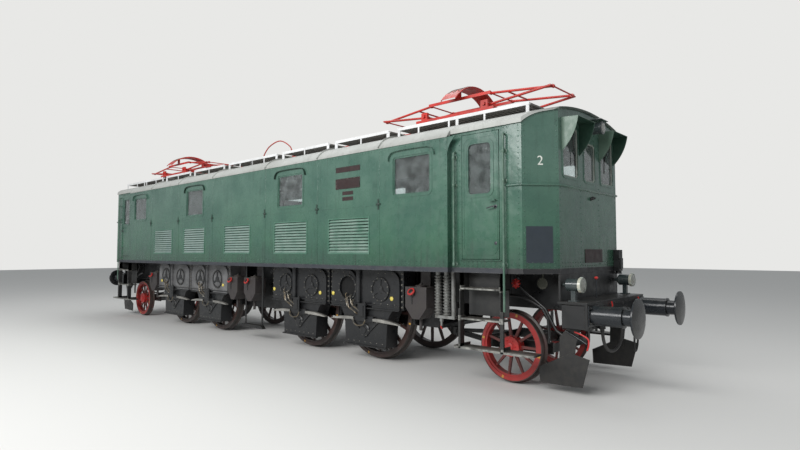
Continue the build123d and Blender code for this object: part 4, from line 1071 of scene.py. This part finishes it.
sill_paint = weathered("blue grey sill paint", sill_tones, linear(34, 36, 41), scale=2.2, amount=0.5, dull=0.6,
                       shiny=0.3, bare=linear(150, 150, 148), chips=0.6, dusty=0.3)
paint(["platform"], sill_paint)
edge_bar = []
plan = [(HALF_BODY, SIDE_Y), (HALF_BODY, CAB_SIDE_Y), (BEVEL_X, CAB_SIDE_Y), (FRONT_X, FRONT_Y)]
around = plan + [(x, -y) for x, y in reversed(plan)]
around = np.array(around + [(-x, y) for x, y in reversed(around)] + [plan[0]])
for first, second in zip(around[:-1], around[1:]):
    if np.linalg.norm(second - first) > 0.2:
        way = (second - first) / np.linalg.norm(second - first)
        out = np.array([way[1], -way[0]])
        if out @ ((first + second) / 2) < 0:
            out = -out
        edge_bar += [carried(flat(0.004, -0.004, 0.004), [(*(first + out * 0.001), z), (*(second + out * 0.001), z)])
                     for z in (1.607, 1.669)]
piece("sill_beads", edge_bar, sill_paint)

# Doors: a lever handle, a lock and the raised frame of a rounded panel, which swing with each door, and a drip strip
# over the doorway and a sill under it, which are fixed to the cab.
HANDLE = (6.434, CAB_SIDE_Y, 2.520)
lever = smooth_path([(6.434, CAB_SIDE_Y + 0.048, 2.520), (6.405, CAB_SIDE_Y + 0.054, 2.518),
                     (6.350, CAB_SIDE_Y + 0.052, 2.506), (6.315, CAB_SIDE_Y + 0.044, 2.500)], 10)
handle = [turned([(0, 0.028), (0.006, 0.028), (0.008, 0.014), (0.052, 0.013), (0.056, 0.008)], HANDLE, (0, 1, 0), 16),
          tube(lever, np.linspace(0.011, 0.007, 10), 10),
          turned([(0, 0.024), (0.005, 0.024), (0.008, 0.018), (0.012, 0.009)], (HANDLE[0], CAB_SIDE_Y, 2.016),
                 (0, 1, 0), 16)]
panel = [band((6.178, 0.54, 1.86, 3.515, 0.10), (0.0, 0.016), CAB_SIDE_Y, (-0.002, 0.004))]
for corner, end, side_sign in CORNERS:
    door = f"cab_door_{corner}"
    piece(f"door_handle_{corner}", mirrored(handle, (end,), (side_sign,)), sill_paint, door)
    piece(f"door_panel_{corner}", mirrored(panel, (end,), (side_sign,)), green_paint, door)
drips = [carried([(-0.002, -0.010), (-0.024, -0.002), (-0.024, 0.004), (-0.002, 0.006)],
                 [(6.56, CAB_SIDE_Y, 3.600), (5.80, CAB_SIDE_Y, 3.600)])]
sills = [brick((5.84, CAB_SIDE_Y - 0.002, 1.772), (6.52, CAB_SIDE_Y + 0.020, 1.786))]
piece("door_drips", mirrored(drips + sills), green_paint, bevel=0.002)

# Handrails beside the doors: round bars, green for the most part and rubbed bare where hands hold them, bolted to the
# cab through round feet.
rail_paint = weathered("rubbed green rail", linear(62, 96, 80), linear(96, 120, 106), scale=7.0, amount=0.8,
                       dull=0.5, shiny=0.22, bare=linear(150, 152, 144), width=0.002, chips=0.3, dusty=0.1)
paint(["handrails"], rail_paint)
feet = []
for x, top in ((5.76, 3.345), (6.59, 3.500)):
    feet.append(tube(smooth_path([(x, CAB_SIDE_Y + 0.055, 2.915), (x, CAB_SIDE_Y + 0.055, top - 0.05),
                                  (x, CAB_SIDE_Y + 0.050, top - 0.015), (x, CAB_SIDE_Y + 0.030, top),
                                  (x, CAB_SIDE_Y - 0.004, top)], 20), 0.014, 12))
    for z in (1.72, 2.86, 3.267):
        feet.append(turned([(0, 0.032), (0.006, 0.032), (0.010, 0.020), (0.016, 0.017)], (x, CAB_SIDE_Y, z),
                           (0, 1, 0), 16))
        feet.append(collar((x, CAB_SIDE_Y + 0.055, z), (0, 0, 1), (0.024, 0.020), (0.018, 0.023)))
piece("rail_feet", mirrored(feet), rail_paint)

# Steps under the doors: black iron with treads whose edges boots have worn to light grey. They hang from the deck.
STEP_TOPS = (0.558, 0.963, 1.388)


def worn_treads(tree):
    """Black iron that turns light grey on the faces that look up and on the outer edges of the treads."""
    place = object_place(tree)
    at = axes(tree, place)
    outer = ramp(tree, maths(tree, "ABSOLUTE", at["Y"]), 1.30, 1.43)
    total = 0.0
    for top in STEP_TOPS:
        off = maths(tree, "ABSOLUTE", maths(tree, "SUBTRACT", at["Z"], top - 0.004))
        total = maths(tree, "MAXIMUM", total, maths(tree, "LESS_THAN", off, 0.036))
    rough = ramp(tree, noise(tree, place, 12.0, 5.0), 0.3, 0.55)
    mask = maths(tree, "MULTIPLY", maths(tree, "MULTIPLY", total, outer), rough)
    return mix(tree, mask, linear(22, 24, 26), linear(156, 156, 150))


paint(["cab_steps"], weathered("worn step iron", worn_treads, linear(36, 38, 38), scale=4.0, amount=0.5, dull=0.6,
                               shiny=0.35, bare=linear(140, 140, 134), chips=0.9, dusty=0.55))

# Wheels: cast spoked centres painted red, shrunk-on tyres whose tread and flange are bare dark steel, dull and
# dusty spokes. Yellow marks over the tyre's edge show whether it has slipped.
LEAD_X, LEAD_Z, LEAD_R = 6.3, 0.528, 0.5
DRIVE_X, DRIVE_Z, DRIVE_R = (-3.6, -1.75, 1.75, 3.6), 0.848, 0.82
mark_yellow = weathered("yellow mark paint", linear(196, 150, 60), linear(170, 120, 50), scale=20.0, dusty=0.2)


def distance(tree, place, where, kept):
    """How far each point is from a place, counted along the axes that are kept."""
    moved = add_node(tree, "ShaderNodeMapping", {"Vector": place, "Location": where, "Scale": kept})
    return add_node(tree, "ShaderNodeVectorMath", {0: moved.outputs[0]}, operation="LENGTH").outputs["Value"]


def wheel_tones(x, z, radius, hub, hub_tone, spoke_tone, rim_tone):
    """Gives the colours of a wheel by distance from its axle: hub, spokes, rim, and dark tread."""
    def tones(tree):
        place = object_place(tree)
        away = distance(tree, place, (-x, 0, -z), (1.0, 0.0, 1.0))
        inboard = maths(tree, "LESS_THAN", maths(tree, "ABSOLUTE", axes(tree, place)["Y"]), 0.66)
        tone = mix(tree, ramp(tree, away, hub + 0.004, hub + 0.012), hub_tone, spoke_tone)
        tone = mix(tree, ramp(tree, away, radius - 0.115, radius - 0.100), tone, rim_tone)
        tone = mix(tree, ramp(tree, away, radius - 0.016, radius - 0.010), tone, linear(44, 42, 40))
        return mix(tree, inboard, tone, linear(48, 46, 46))
    return tones


LEAD_TONES = (linear(180, 32, 31), linear(98, 42, 40), linear(164, 34, 34))
# The driven wheels, behind the gear cases and under the body, take far darker tones of the red: dirt and painted shade.
DRIVE_TONES_DIRT_AND_SHADE = (linear(70, 38, 36), linear(60, 34, 32), linear(52, 36, 34))
wheels = [(f"lead_wheelset_{name}", f"lead_wheels_{name}", end * LEAD_X, LEAD_Z, LEAD_R, 0.145, LEAD_TONES)
          for name, end in ENDS]
wheels += [(f"drive_wheelset_{number}", f"drive_wheels_{number}", x, DRIVE_Z, DRIVE_R, 0.19, DRIVE_TONES_DIRT_AND_SHADE)
           for number, x in enumerate(DRIVE_X, start=1)]
for node, body, x, z, radius, hub, tones in wheels:
    coloured = wheel_tones(x, z, radius, hub, *tones)
    wheel_paint = weathered(f"wheel paint of {node}", coloured, tones[1], scale=6.0, amount=0.35, dull=0.55, shiny=0.3,
                            bare=linear(120, 70, 60), chips=0.4, dusty=0.4, film=0.12)
    paint([node], wheel_paint)
    marks = [spoke(np.array((x, 0, z)), angle, (radius - 0.058, radius - 0.014), 0.016,
                   (side_sign * 0.8148, side_sign * 0.8162))
             for angle in np.radians((-12.0, 76.0, 169.0, 254.0)) for side_sign in (-1, 1)]
    piece(f"{body}_marks", marks, mark_yellow, body, smooth=False)
    cap = [turned([(0, hub * 0.40), (0.010, hub * 0.40), (0.016, hub * 0.34), (0.018, 0.01)], (x, 0.828, z), (0, 1, 0)),
           domes(circle_places(x, 0.824, z, hub * 0.62, np.radians(np.arange(0, 360, 60))), (0, 1, 0), 0.013)]
    piece(f"{body}_caps", mirrored(cap, ends=(1,)), wheel_paint, body)

# Gear cases: cast and sheet steel housings on the gear side, grey on the two rear units and nearly black on the
# front two, with rows of nuts, yellow oil marks, worn spring bars and dull thin pipes.
def case_tones(tree):
    """Grey for the rear half, nearly black for the front half, and light worn steel on the spring bars."""
    at = axes(tree, object_place(tree))
    disc = maths(tree, "GREATER_THAN", at["Y"], -1.1655)
    pale = maths(tree, "MULTIPLY", disc, maths(tree, "GREATER_THAN", at["Z"], 0.95))
    rear = mix(tree, pale, linear(30, 32, 34), linear(108, 108, 109))
    tone = mix(tree, maths(tree, "GREATER_THAN", at["X"], 0.0), rear, linear(20, 22, 25))
    over = maths(tree, "ABSOLUTE", maths(tree, "SUBTRACT", at["Z"], 0.728))
    proud = maths(tree, "MULTIPLY", maths(tree, "LESS_THAN", over, 0.042), maths(tree, "LESS_THAN", at["Y"], -1.120))
    beside = at["X"]
    for middle in (0.0, 2.675, 0.925):
        beside = maths(tree, "ABSOLUTE", maths(tree, "SUBTRACT", beside, middle))
    bar = maths(tree, "MULTIPLY", proud, maths(tree, "GREATER_THAN", beside, 0.243))
    return mix(tree, bar, tone, linear(150, 148, 142))


case_paint = weathered("oily gear case paint", case_tones, linear(34, 34, 35), scale=3.5, amount=0.55, dull=0.55,
                       shiny=0.22, bare=linear(112, 108, 102), chips=0.45, dust=linear(66, 63, 58), film=0.04)
paint(["gear_cases"], case_paint)
# A nearly black disc on the floor of the open cover's hole: painted shade inside the opening.
opening_at = (MISSING_AT / 1000 - COVER[0] / 1000, PANEL_BACK / 1000, COVER[1] / 1000)
piece("case_opening_shade", [turned([(-0.002, 0.202), (0.006, 0.202)], opening_at, (0, -1, 0), 32)],
      weathered("painted shade inside a case", linear(4, 4, 5), linear(9, 9, 9), scale=9.0, dull=0.95, shiny=0.8, chips=0.0,
                dusty=0.1, film=0.0))


def nut(size, height, direction):
    """A hexagon nut with a washer under it and the stud's end on top."""
    washer = turned([(0, size * 1.25), (height * 0.2, size * 1.25)], (0, 0, 0), direction, 12)
    six = turned([(height * 0.2, size), (height, size), (height * 1.05, size * 0.85)], (0, 0, 0), direction, 6)
    stud = turned([(height, size * 0.5), (height * 1.5, size * 0.5), (height * 1.6, size * 0.35)], (0, 0, 0),
                  direction, 8)
    return [washer, six, stud]


FACE_Y = -1.157
PANEL_Y = -1.117
TWELVE = np.radians(np.arange(15, 375, 30))
places, small_places, cover_places = [], [], []
for x0 in DRIVE_X:
    places += [(x0 + side_sign * 0.872, PANEL_Y, z) for z in np.arange(0.985, 1.56, 0.092) for side_sign in (-1, 1)]
    for side_sign in (-1, 1):
        reach, proud = (0.220, 0.014) if (x0, side_sign) == (3.6, -1) else (0.194, 0.024)
        cover_places.append(circle_places(x0 + side_sign * 0.41, FACE_Y - proud, 1.262, reach, TWELVE))
        small_places += [(x0 + side_sign * dx, FACE_Y, 1.020) for dx in (0.26, 0.42, 0.58, 0.74)]
        small_places += [(x0 + side_sign * dx, FACE_Y, 1.535) for dx in (0.36, 0.52, 0.68)]
    small_places += circle_places(x0, -1.139, 0.543, 0.098, np.radians(np.arange(0, 360, 60))).tolist()
    small_places += [(x0 + dx, PANEL_Y, 0.335) for dx in np.arange(-0.42, 0.43, 0.14)]
nuts = [copies(form, places) for form in nut(0.015, 0.016, (0, -1, 0))]
nuts += [copies(form, np.vstack(cover_places)) for form in nut(0.009, 0.010, (0, -1, 0))]
nuts += [domes(small_places, (0, -1, 0), 0.011)]
nut_iron = weathered("oily nut steel", linear(128, 126, 120), linear(74, 72, 68), scale=20.0, dull=0.5, shiny=0.25,
                     chips=0.8, metal=0.5)
piece("gear_case_nuts", nuts, nut_iron)
discs = [turned([(0, 0.036), (0.008, 0.036), (0.016, 0.028), (0.020, 0.010)], place, (0, -1, 0), 20)
         for place in ((1.75 - 0.80, FACE_Y, 1.138), (1.75 + 0.673, FACE_Y, 1.13), (3.6 - 0.80, FACE_Y, 1.145),
                       (3.6 + 0.672, FACE_Y, 1.121), (-1.75 + 0.66, FACE_Y, 1.13), (-3.6 - 0.66, FACE_Y, 1.13))]
piece("oil_marks", discs, weathered("yellow enamel", linear(224, 206, 92), linear(196, 176, 84), scale=30.0,
                                    dull=0.4, shiny=0.2, dusty=0.2))
pipes, clips = [], []
for x0 in DRIVE_X:
    for step, (top, low, reach) in enumerate(((1.16, 0.93, -0.43), (1.10, 0.90, -0.37), (1.13, 0.95, -0.31),
                                              (1.05, 0.92, -0.25))):
        x = x0 + reach
        y = FACE_Y - 0.034 - 0.012 * (step % 2)
        path = [(x, FACE_Y + 0.004, top), (x, y, top - 0.012), (x + 0.012, y, top - 0.07),
                (x + 0.05, y - 0.010, low + 0.02), (x + 0.14, y - 0.008, low - 0.02), (x + 0.22, y + 0.005, low - 0.07),
                (x + 0.235, -1.11, low - 0.11)]
        pipes.append(tube(smooth_path(path, 26), 0.0085, 8))
        clips.append(turned([(0, 0.015), (0.020, 0.015), (0.024, 0.011)], (x, FACE_Y, top - 0.002), (0, -1, 0), 6))
    loop = [(x0 + 0.072, -1.199, 0.75), (x0 + 0.070, -1.201, 0.70), (x0 + 0.02, -1.205, 0.640),
            (x0 - 0.11, -1.207, 0.622), (x0 - 0.21, -1.200, 0.665), (x0 - 0.235, -1.175, 0.72)]
    pipes.append(tube(smooth_path(loop, 26), 0.011, 8))
pipe_metal = weathered("dull bent pipe", linear(116, 114, 108), linear(104, 84, 50), scale=9.0, amount=0.9, dull=0.45,
                       shiny=0.2, metal=0.6, chips=0.4)
piece("lubricator_pipes", pipes + clips, pipe_metal)

# Sandboxes, and the compressor's finned cooling pipes: grey painted sheet and aluminium-coloured tubes. The filler
# neck has a red ring, the drain tap and the hand wheel behind the steps are red, and a brass gauge is beside the wheel.
paint(["sandboxes"], weathered("sandbox grey", linear(48, 43, 45), linear(34, 31, 32), scale=5.0, amount=0.7,
                               bare=linear(150, 144, 136), chips=0.6, dusty=0.6, film=0.12))
paint(["cooling_pipes"], weathered("silver cooling pipe", linear(146, 148, 146), linear(92, 90, 86), scale=9.0,
                                   amount=0.8, dull=0.5, shiny=0.25, metal=0.55, bare=linear(200, 200, 196),
                                   chips=0.3, dusty=0.4))
red_paint = weathered("bright red paint", linear(196, 40, 38), linear(150, 34, 32), scale=10.0, amount=0.5,
                      dull=0.5, shiny=0.25, dusty=0.25, chips=0.3)
lean = np.array((0.0, -0.8, 0.6))
rings, hatch = [], []
for x in (-4.8, 4.8, -0.655, 0.030):
    base = np.array((x - 0.060, -1.145, 1.215))
    rings.append(turned([(0.070, 0.0635), (0.071, 0.066), (0.091, 0.066), (0.093, 0.060), (0.093, 0.040)], base, lean,
                        28))
    hatch.append(turned([(0.080, 0.041), (0.096, 0.041), (0.099, 0.034), (0.106, 0.030), (0.108, 0.012)], base, lean))
    hatch.append(carried(flat(0.010, -0.003, 0.004), [(x - 0.075, -1.172, 1.318), (x - 0.075, -1.178, 1.20),
                                                      (x - 0.075, -1.174, 1.06)], (0, 1, 0)))
tap = [tube(smooth_path([(5.262, -1.098, 0.800), (5.262, -1.102, 0.765), (5.268, -1.112, 0.745), (5.285, -1.125, 0.732),
                         (5.312, -1.130, 0.726)], 12), np.linspace(0.013, 0.009, 12), 10)]
VALVE = (6.455, -0.885, 1.449)
cap = [turned([(0, 0.020), (0.012, 0.046), (0.024, 0.052), (0.034, 0.044), (0.046, 0.020)], VALVE, (0, -1, 0), 20)]
cap += [turned([(0.006, 0.011), (0.014, 0.017), (0.026, 0.017), (0.034, 0.010)], place, (0, -1, 0), 10)
        for place in circle_places(*VALVE, 0.056, np.linspace(0, 2 * np.pi, 8, endpoint=False))]
gauge = [turned([(0, 0.060), (0.030, 0.078), (0.036, 0.078), (0.036, 0.066), (0.030, 0.064)], (6.860, 0.852, 1.462),
                (0, 1, 0), 32), turned([(-0.02, 0.016), (0.141, 0.016)], (6.860, 0.862, 1.462), (0, 0, 1), 10)]
# The brass takes a dim olive tone: painted shade, as the gauge sits partly in shadow.
brass = weathered("dull brass in painted shade", linear(62, 64, 54), linear(46, 46, 38), scale=30.0, dull=0.5, shiny=0.25, metal=0.4)
piece("pressure_gauges", mirrored(gauge), brass)
piece("red_rings", rings + tap + cap, red_paint)
piece("sandbox_straps", hatch, running_black)

# Buffers: turned steel casings in glossy slate paint, with greasy heads that are nearly black. Bolts hold their square
# feet, and rows of rivets hold the buffer beam's plate.
def buffer_tones(tree):
    """Slate on the casings, and nearly black on faces that look along the locomotive, such as the heads."""
    turn = maths(tree, "ABSOLUTE", axes(tree, surface_way(tree))["X"])
    return mix(tree, maths(tree, "GREATER_THAN", turn, 0.9), linear(30, 35, 40), linear(12, 14, 15))


buffer_paint = weathered("glossy slate paint", buffer_tones, linear(22, 24, 27), scale=4.0, amount=0.4, dull=0.34,
                         shiny=0.14, bare=linear(96, 94, 90), chips=0.12, dust=linear(84, 80, 74), dusty=0.25,
                         film=0.03)
paint(["buffers"], buffer_paint)
bolt_places = [(7.575, side_sign * 0.875 + dy, 1.078 + dz)
               for side_sign in (-1, 1) for dy in (-0.118, 0.118) for dz in (-0.098, 0.098)]
beam_rivets = [(7.560, y, z) for z in (0.918, 1.185) for y in np.arange(-0.98, 0.99, 0.098)]
beam_rivets += [(7.560, y, z) for y in (-0.32, -0.24, 0.24, 0.32) for z in (0.99, 1.05, 1.11)]
beam_rivets += [(7.560, y, z) for y in (-0.18, 0.18) for z in (0.98, 1.03, 1.13, 1.17)]
bolts = [copies(form, bolt_places) for form in nut(0.017, 0.018, (1, 0, 0))]
bolts.append(domes(beam_rivets, (1, 0, 0), 0.012))
piece("beam_bolts", mirrored(bolts, sides=(1,)), running_black)

# Screw coupling: forged links, a screw with a handle and a shackle, of bare black iron. One hangs from each drawhook.
coupling = []
for side_sign in (-1, 1):
    upper = [(7.700, side_sign * 0.030, 1.075), (7.735, side_sign * 0.062, 1.030), (7.775, side_sign * 0.066, 0.930),
             (7.790, side_sign * 0.050, 0.850)]
    lower = [(7.790, side_sign * 0.050, 0.780), (7.796, side_sign * 0.066, 0.700), (7.790, side_sign * 0.060, 0.600),
             (7.786, side_sign * 0.028, 0.545), (7.786, 0.0, 0.536)]
    coupling += [tube(smooth_path(upper, 14), 0.014, 10), tube(smooth_path(lower, 16), 0.014, 10)]
coupling += [tube([(7.700, -0.044, 1.075), (7.700, 0.044, 1.075)], 0.018),
             tube([(7.790, -0.075, 0.850), (7.790, 0.075, 0.850)], 0.022),
             tube([(7.790, -0.075, 0.780), (7.790, 0.075, 0.780)], 0.022),
             tube([(7.790, 0.0, 0.900), (7.790, 0.0, 0.730)], 0.017, 14),
             tube([(7.790, 0.0, 0.815), (7.850, -0.045, 0.815), (7.868, -0.06, 0.800)], 0.009, 8),
             turned([(0, 0.012), (0.008, 0.021), (0.022, 0.024), (0.036, 0.016), (0.042, 0.006)],
                    (7.868, -0.06, 0.806), (0.2, -0.1, -1), 14)]
piece("screw_couplings", mirrored(coupling, sides=(1,)), running_black)

# Small fittings on the front and under the beam: cocks and an uncoupling lever with red handles, a red ball on a
# stick, a jumper socket box, lever arms and wipers. All are screwed to the front or to the beam.
reds, irons, wipers = [], [], []
irons.append(tube([(7.450, -0.480, 1.275), (7.450, -0.480, 1.530)], 0.008, 10))
reds.append(turned([(0, 0.008), (0.006, 0.020), (0.020, 0.028), (0.034, 0.020), (0.040, 0.008)],
                   (7.450, -0.480, 1.523), (0, 0, 1), 20))
for y in (-0.276, 0.770):
    reds.append(carried(flat(0.008, -0.003, 0.003), [(7.572, y, 1.120), (7.590, y - 0.004, 1.170),
                                                     (7.576, y - 0.01, 1.222)], (0, 1, 0)))
    irons.append(turned([(0, 0.024), (0.014, 0.024), (0.020, 0.016), (0.034, 0.014)], (7.556, y, 1.125), (1, 0, 0), 16))
reds.append(tube(smooth_path([(7.339, -0.950, 0.855), (7.445, -0.950, 0.822), (7.523, -0.950, 0.776),
                              (7.530, -0.950, 0.700), (7.508, -0.950, 0.629)], 18), 0.011, 10))
irons.append(tube([(7.196, -0.900, 0.849), (7.34, -0.900, 0.778), (7.481, -0.900, 0.704)], 0.014, 10))
jumpers = [brick((7.182, 0.845, 1.60), (7.275, 0.985, 1.93)), brick((7.270, 0.865, 1.63), (7.292, 0.965, 1.80)),
           turned([(0, 0.045), (0.030, 0.045), (0.036, 0.052), (0.046, 0.052)], (7.235, 0.915, 1.600), (0, 0, -1), 20)]
jumpers += [turned([(0, 0.026), (0.020, 0.026), (0.026, 0.018), (0.050, 0.014)], (7.178, y, z), (1, 0, 0), 16)
            for y, z in ((0.02, 2.675), (0.09, 2.69))]
piece("red_handles", at_both_ends(reds), red_paint)
piece("front_irons", at_both_ends(irons), buffer_paint)
piece("jumper_boxes", at_both_ends(jumpers), running_black, bevel=0.004)
for y, way in ((-0.637, 1), (0.637, -1)):
    wipers += [turned([(0, 0.022), (0.020, 0.022), (0.026, 0.012)], (7.180, y, 3.655), (1, 0, 0), 14),
               tube([(7.196, y, 3.655), (7.200, y + way * 0.04, 3.50), (7.194, y + way * 0.10, 3.30)], 0.005, 8),
               carried(flat(0.004, -0.006, 0.006), [(7.188, y + way * 0.085, 3.46), (7.188, y + way * 0.12, 3.10)],
                       (1, 0, 0))]
piece("wipers", mirrored(wipers, sides=(1,)), running_black)

# Lamps: dark gloss drums behind a ribbed lens. The low lamps have a cream rim, a ring and three clamps that hold the
# lens, and the lens of the top lamp has a dark ring.
LOW_TOP = 2.5                    # height between the low lamps and the top lamp
RIM_X = 7.4145
lamp_paint, tree, shader = new_material("dark gloss lamp paint")
at = axes(tree, object_place(tree))
on_rim = maths(tree, "GREATER_THAN", maths(tree, "ABSOLUTE", at["X"]), RIM_X)
rim = maths(tree, "MULTIPLY", maths(tree, "LESS_THAN", at["Z"], LOW_TOP), on_rim)
tone = mix(tree, rim, linear(40, 50, 52), linear(198, 196, 180))
patchy = patch(tree, tone, linear(86, 90, 86), 9.0, 0.35, 0.35, 0.12)
coat(tree, shader, patchy, patchy)
shader.inputs["Coat Weight"].default_value = 0.3
paint(["headlamps"], lamp_paint)
lens_glass, tree, shader = new_material("ribbed lamp glass")
place = object_place(tree)
ribs = add_node(tree, "ShaderNodeTexWave", {"Vector": place, "Scale": 22.0, "Distortion": 0.0}, bands_direction="Y")
tone = mix(tree, ribs.outputs["Fac"], linear(128, 130, 122), linear(192, 192, 178))
is_ring = maths(tree, "GREATER_THAN", distance(tree, place, (0, 0, -3.7), (0.0, 1.0, 1.0)), 0.066)
ringed = maths(tree, "MULTIPLY", maths(tree, "GREATER_THAN", axes(tree, place)["Z"], LOW_TOP), is_ring)
tree.links.new(mix(tree, ringed, tone, linear(40, 48, 48)), shader.inputs["Base Color"])
shader.inputs["Roughness"].default_value = 0.12
shader.inputs["Transmission Weight"].default_value = 0.35
shader.inputs["Coat Weight"].default_value = 1.0
shader.inputs["Coat Roughness"].default_value = 0.04
add_bump(tree, shader, ribs.outputs["Fac"], 0.4, 0.004)
paint(["lamp_lenses"], lens_glass)
LOW_AT = (0.920, 1.461)           # place of a low lamp across and up
clamps = []
for y in (LOW_AT[0], -LOW_AT[0]):
    clamps += [turned([(0, 0.009), (0.036, 0.009), (0.040, 0.006)],
                      (RIM_X + 0.004, y + 0.097 * math.cos(a), LOW_AT[1] + 0.097 * math.sin(a)), (1, 0, 0), 10)
               for a in np.radians((90, 210, 330))]
    ring = [(RIM_X + 0.0385, y + 0.0945 * math.cos(a), LOW_AT[1] + 0.0945 * math.sin(a))
            for a in np.linspace(0, 2 * np.pi, 33)]
    clamps.append(carried(flat(0.0035, -0.004, 0.004), ring, (1, 0, 0)))
piece("lamp_clamps", mirrored(clamps, sides=(1,)), pale_seal)

# Walkways: open planks of weathered steel strip on both edges of the roof. Their outer bars and posts are bright, and
# the slats between them are a darker grey: painted shade, as they are seen from below.
def walkway_tones_with_shade(tree):
    """Bright paint on the outer edge bars and their posts, and on the slats between them a darker grey that is painted
    shade.
    """
    across = maths(tree, "ABSOLUTE", axes(tree, object_place(tree))["Y"])
    # Painted shade: the slats inside the edge bars are darker grey.
    return mix(tree, maths(tree, "GREATER_THAN", across, 1.095), linear(112, 110, 106), linear(232, 233, 234))


walkway_paint = weathered("walkway paint", walkway_tones_with_shade, linear(150, 148, 142), amount=0.3, dull=0.8, shiny=0.55,
                          bare=linear(150, 142, 132), chips=0.4, dusty=0.25)
paint(["roof_walkways"], walkway_paint)
posts = [brick((x - 0.016, 1.128, 3.800), (x + 0.016, 1.138, 3.930))
         for x in (1.15, 1.88, 2.61, 2.81, 3.495, 4.18, 4.84, 5.452, 6.101, 6.797, 0.0, 0.475, 0.95)]
piece("walkway_posts", mirrored(posts), walkway_paint, bevel=0.002)

# Power line of the roof: red painted tube on ribbed porcelain insulators, with collars over them and a hoop of the
# same tube.
line_paint, tree, shader = new_material("red line and porcelain")
is_line = maths(tree, "GREATER_THAN", axes(tree, object_place(tree))["Z"], 4.130)
tone = mix(tree, is_line, linear(88, 66, 58), linear(196, 54, 42))
patchy = patch(tree, tone, linear(120, 74, 64), 6.0, 0.4, 0.6, 0.22)
settled = placed(tree, dusting, Colour=patchy.outputs["Colour"], Dust=DUST, Amount=0.5, Film=0.08)
coat(tree, shader, settled, patchy)
paint(["roof_power_line"], line_paint)
hoop = smooth_path([(-1.30, 0, 4.165), (-1.249, 0, 4.318), (-1.004, 0, 4.527), (-0.562, 0, 4.612), (-0.170, 0, 4.439),
                    (-0.06, 0, 4.26), (-0.03, 0, 4.165)], 40)
line_fittings = [tube(hoop, 0.014)]
line_fittings += [collar((x, 0, 4.150), (1, 0, 0), (0.035, 0.020), (0.030, 0.030)) for x in (-1.30, -0.03)]
line_fittings += [collar((x, 0, 4.150), (1, 0, 0), (0.030, 0.019), (0.026, 0.028)) for x in (-3.5, -1.75, 0, 1.75, 3.5)]
piece("line_hoop", line_fittings, line_paint)

# Pantographs: red painted tube frames on porcelain. Each head carries three rubbing strips between two round rims, and
# the main shafts have collars at their bearings.
pan_red, tree, shader = new_material("red pantograph paint")
is_frame = maths(tree, "GREATER_THAN", axes(tree, object_place(tree))["Z"], 4.1495)
tone = mix(tree, is_frame, linear(96, 78, 68), linear(204, 50, 40))
patchy = patch(tree, tone, linear(150, 44, 38), 5.0, 0.6, 0.55, 0.22)
rubbed = placed(tree, edges, Colour=patchy.outputs["Colour"], Bare=linear(120, 104, 96), Width=0.004, Amount=0.5)
settled = placed(tree, dusting, Colour=rubbed.outputs["Colour"], Dust=DUST, Amount=0.35, Film=0.05)
coat(tree, shader, settled, patchy)
paint(["pantograph_bases"] + [f"pantograph_{end}_{part}" for end in "12"
                              for part in ("lower_a", "lower_b", "upper_a", "upper_b", "head")], pan_red)
strip_metal = weathered("worn rubbing strip", linear(120, 98, 80), linear(70, 64, 60), scale=12.0, dull=0.45, shiny=0.2,
                        metal=0.7, chips=0.3, dusty=0.1)
PAN_X = 5.08
PAN_TOP = 4.738
PAN_R = (0.660 ** 2 + (PAN_TOP - 4.430) ** 2) / (2 * (PAN_TOP - 4.430))
for end_name, end in ENDS:
    head = f"pantograph_{end_name}_head"
    middle = end * PAN_X
    strips = [carried(flat(0.024, -0.003, 0.007, 0.020), arc_across(middle + dx, PAN_TOP, PAN_R, 0.50, 25, -0.001))
              for dx in (-0.105, 0.0, 0.105)]
    rims = [tube(arc_across(middle + dx, PAN_TOP, PAN_R, 0.655, 31, -0.010), 0.010, 10) for dx in (-0.149, 0.149)]
    piece(f"rubbing_strips_{end_name}", strips, strip_metal, head)
    piece(f"pan_rims_{end_name}", rims, pan_red, head)
    for letter, way in (("a", -1), ("b", 1)):
        collars = [collar((middle + way * 0.62, y, 4.258), (0, 1, 0), (0.022, 0.030), (0.018, 0.036), 20)
                   for y in (-0.440, 0.440)]
        piece(f"shaft_collars_{end_name}_{letter}", collars, pan_red, f"pantograph_{end_name}_lower_{letter}")


# Louvre grilles: green sheet frames set in the sides, and slats whose pale, bluish tone is painted sheen of the light
# on their tilted faces, stronger towards end 1. The pale dust on their tops is dust and painted sheen.
def louvre_tones_with_sheen(tree):
    """The body's green on upright faces, and on the tilted slats a painted sheen that goes from pale at end 1 to green
    at end 2.
    """
    along = ramp(tree, axes(tree, object_place(tree))["X"], -3.0, 3.6)
    tilt = maths(tree, "ABSOLUTE", axes(tree, surface_way(tree))["Z"])
    # Painted sheen on the tilted slats, paler towards end 1.
    slat = mix(tree, along, linear(150, 166, 164), linear(96, 132, 116))
    return mix(tree, maths(tree, "GREATER_THAN", tilt, 0.12), linear(58, 104, 84), slat)


# The pale dust on the slats' tops is dust and painted sheen.
paint(["grilles"], weathered("dusty louvre paint with painted sheen", louvre_tones_with_sheen, linear(84, 120, 104), scale=1.2, amount=0.4, dull=0.5,
                             shiny=0.25, bare=linear(140, 160, 150), width=0.003, chips=0.3,
                             dust=linear(170, 184, 176), dusty=0.7, film=0.1))

# Cab fittings: desk, seats and wheel in plain olive and brown paint, seen through the cab windows.
paint(["cab_controls"], weathered("olive cab paint", linear(138, 132, 104), linear(96, 84, 66), scale=3.0, amount=0.6,
                                  dull=0.6, shiny=0.35, chips=0.4, dusty=0.4))

# Rivets of the frame plates: four columns of round iron heads at each driven axle, and a row along the top.
frame_bolts = [(x + dx, 0.630, z)
               for x in DRIVE_X for dx in (-0.30, -0.24, 0.24, 0.30) for z in (0.70, 0.80, 0.90, 1.00)]
frame_bolts += [(x, 0.630, 1.56) for x in np.arange(-7.05, 7.06, 0.15)]
piece("frame_rivets", mirrored([domes(frame_bolts, (0, 1, 0), 0.011)], ends=(1,)), running_black)
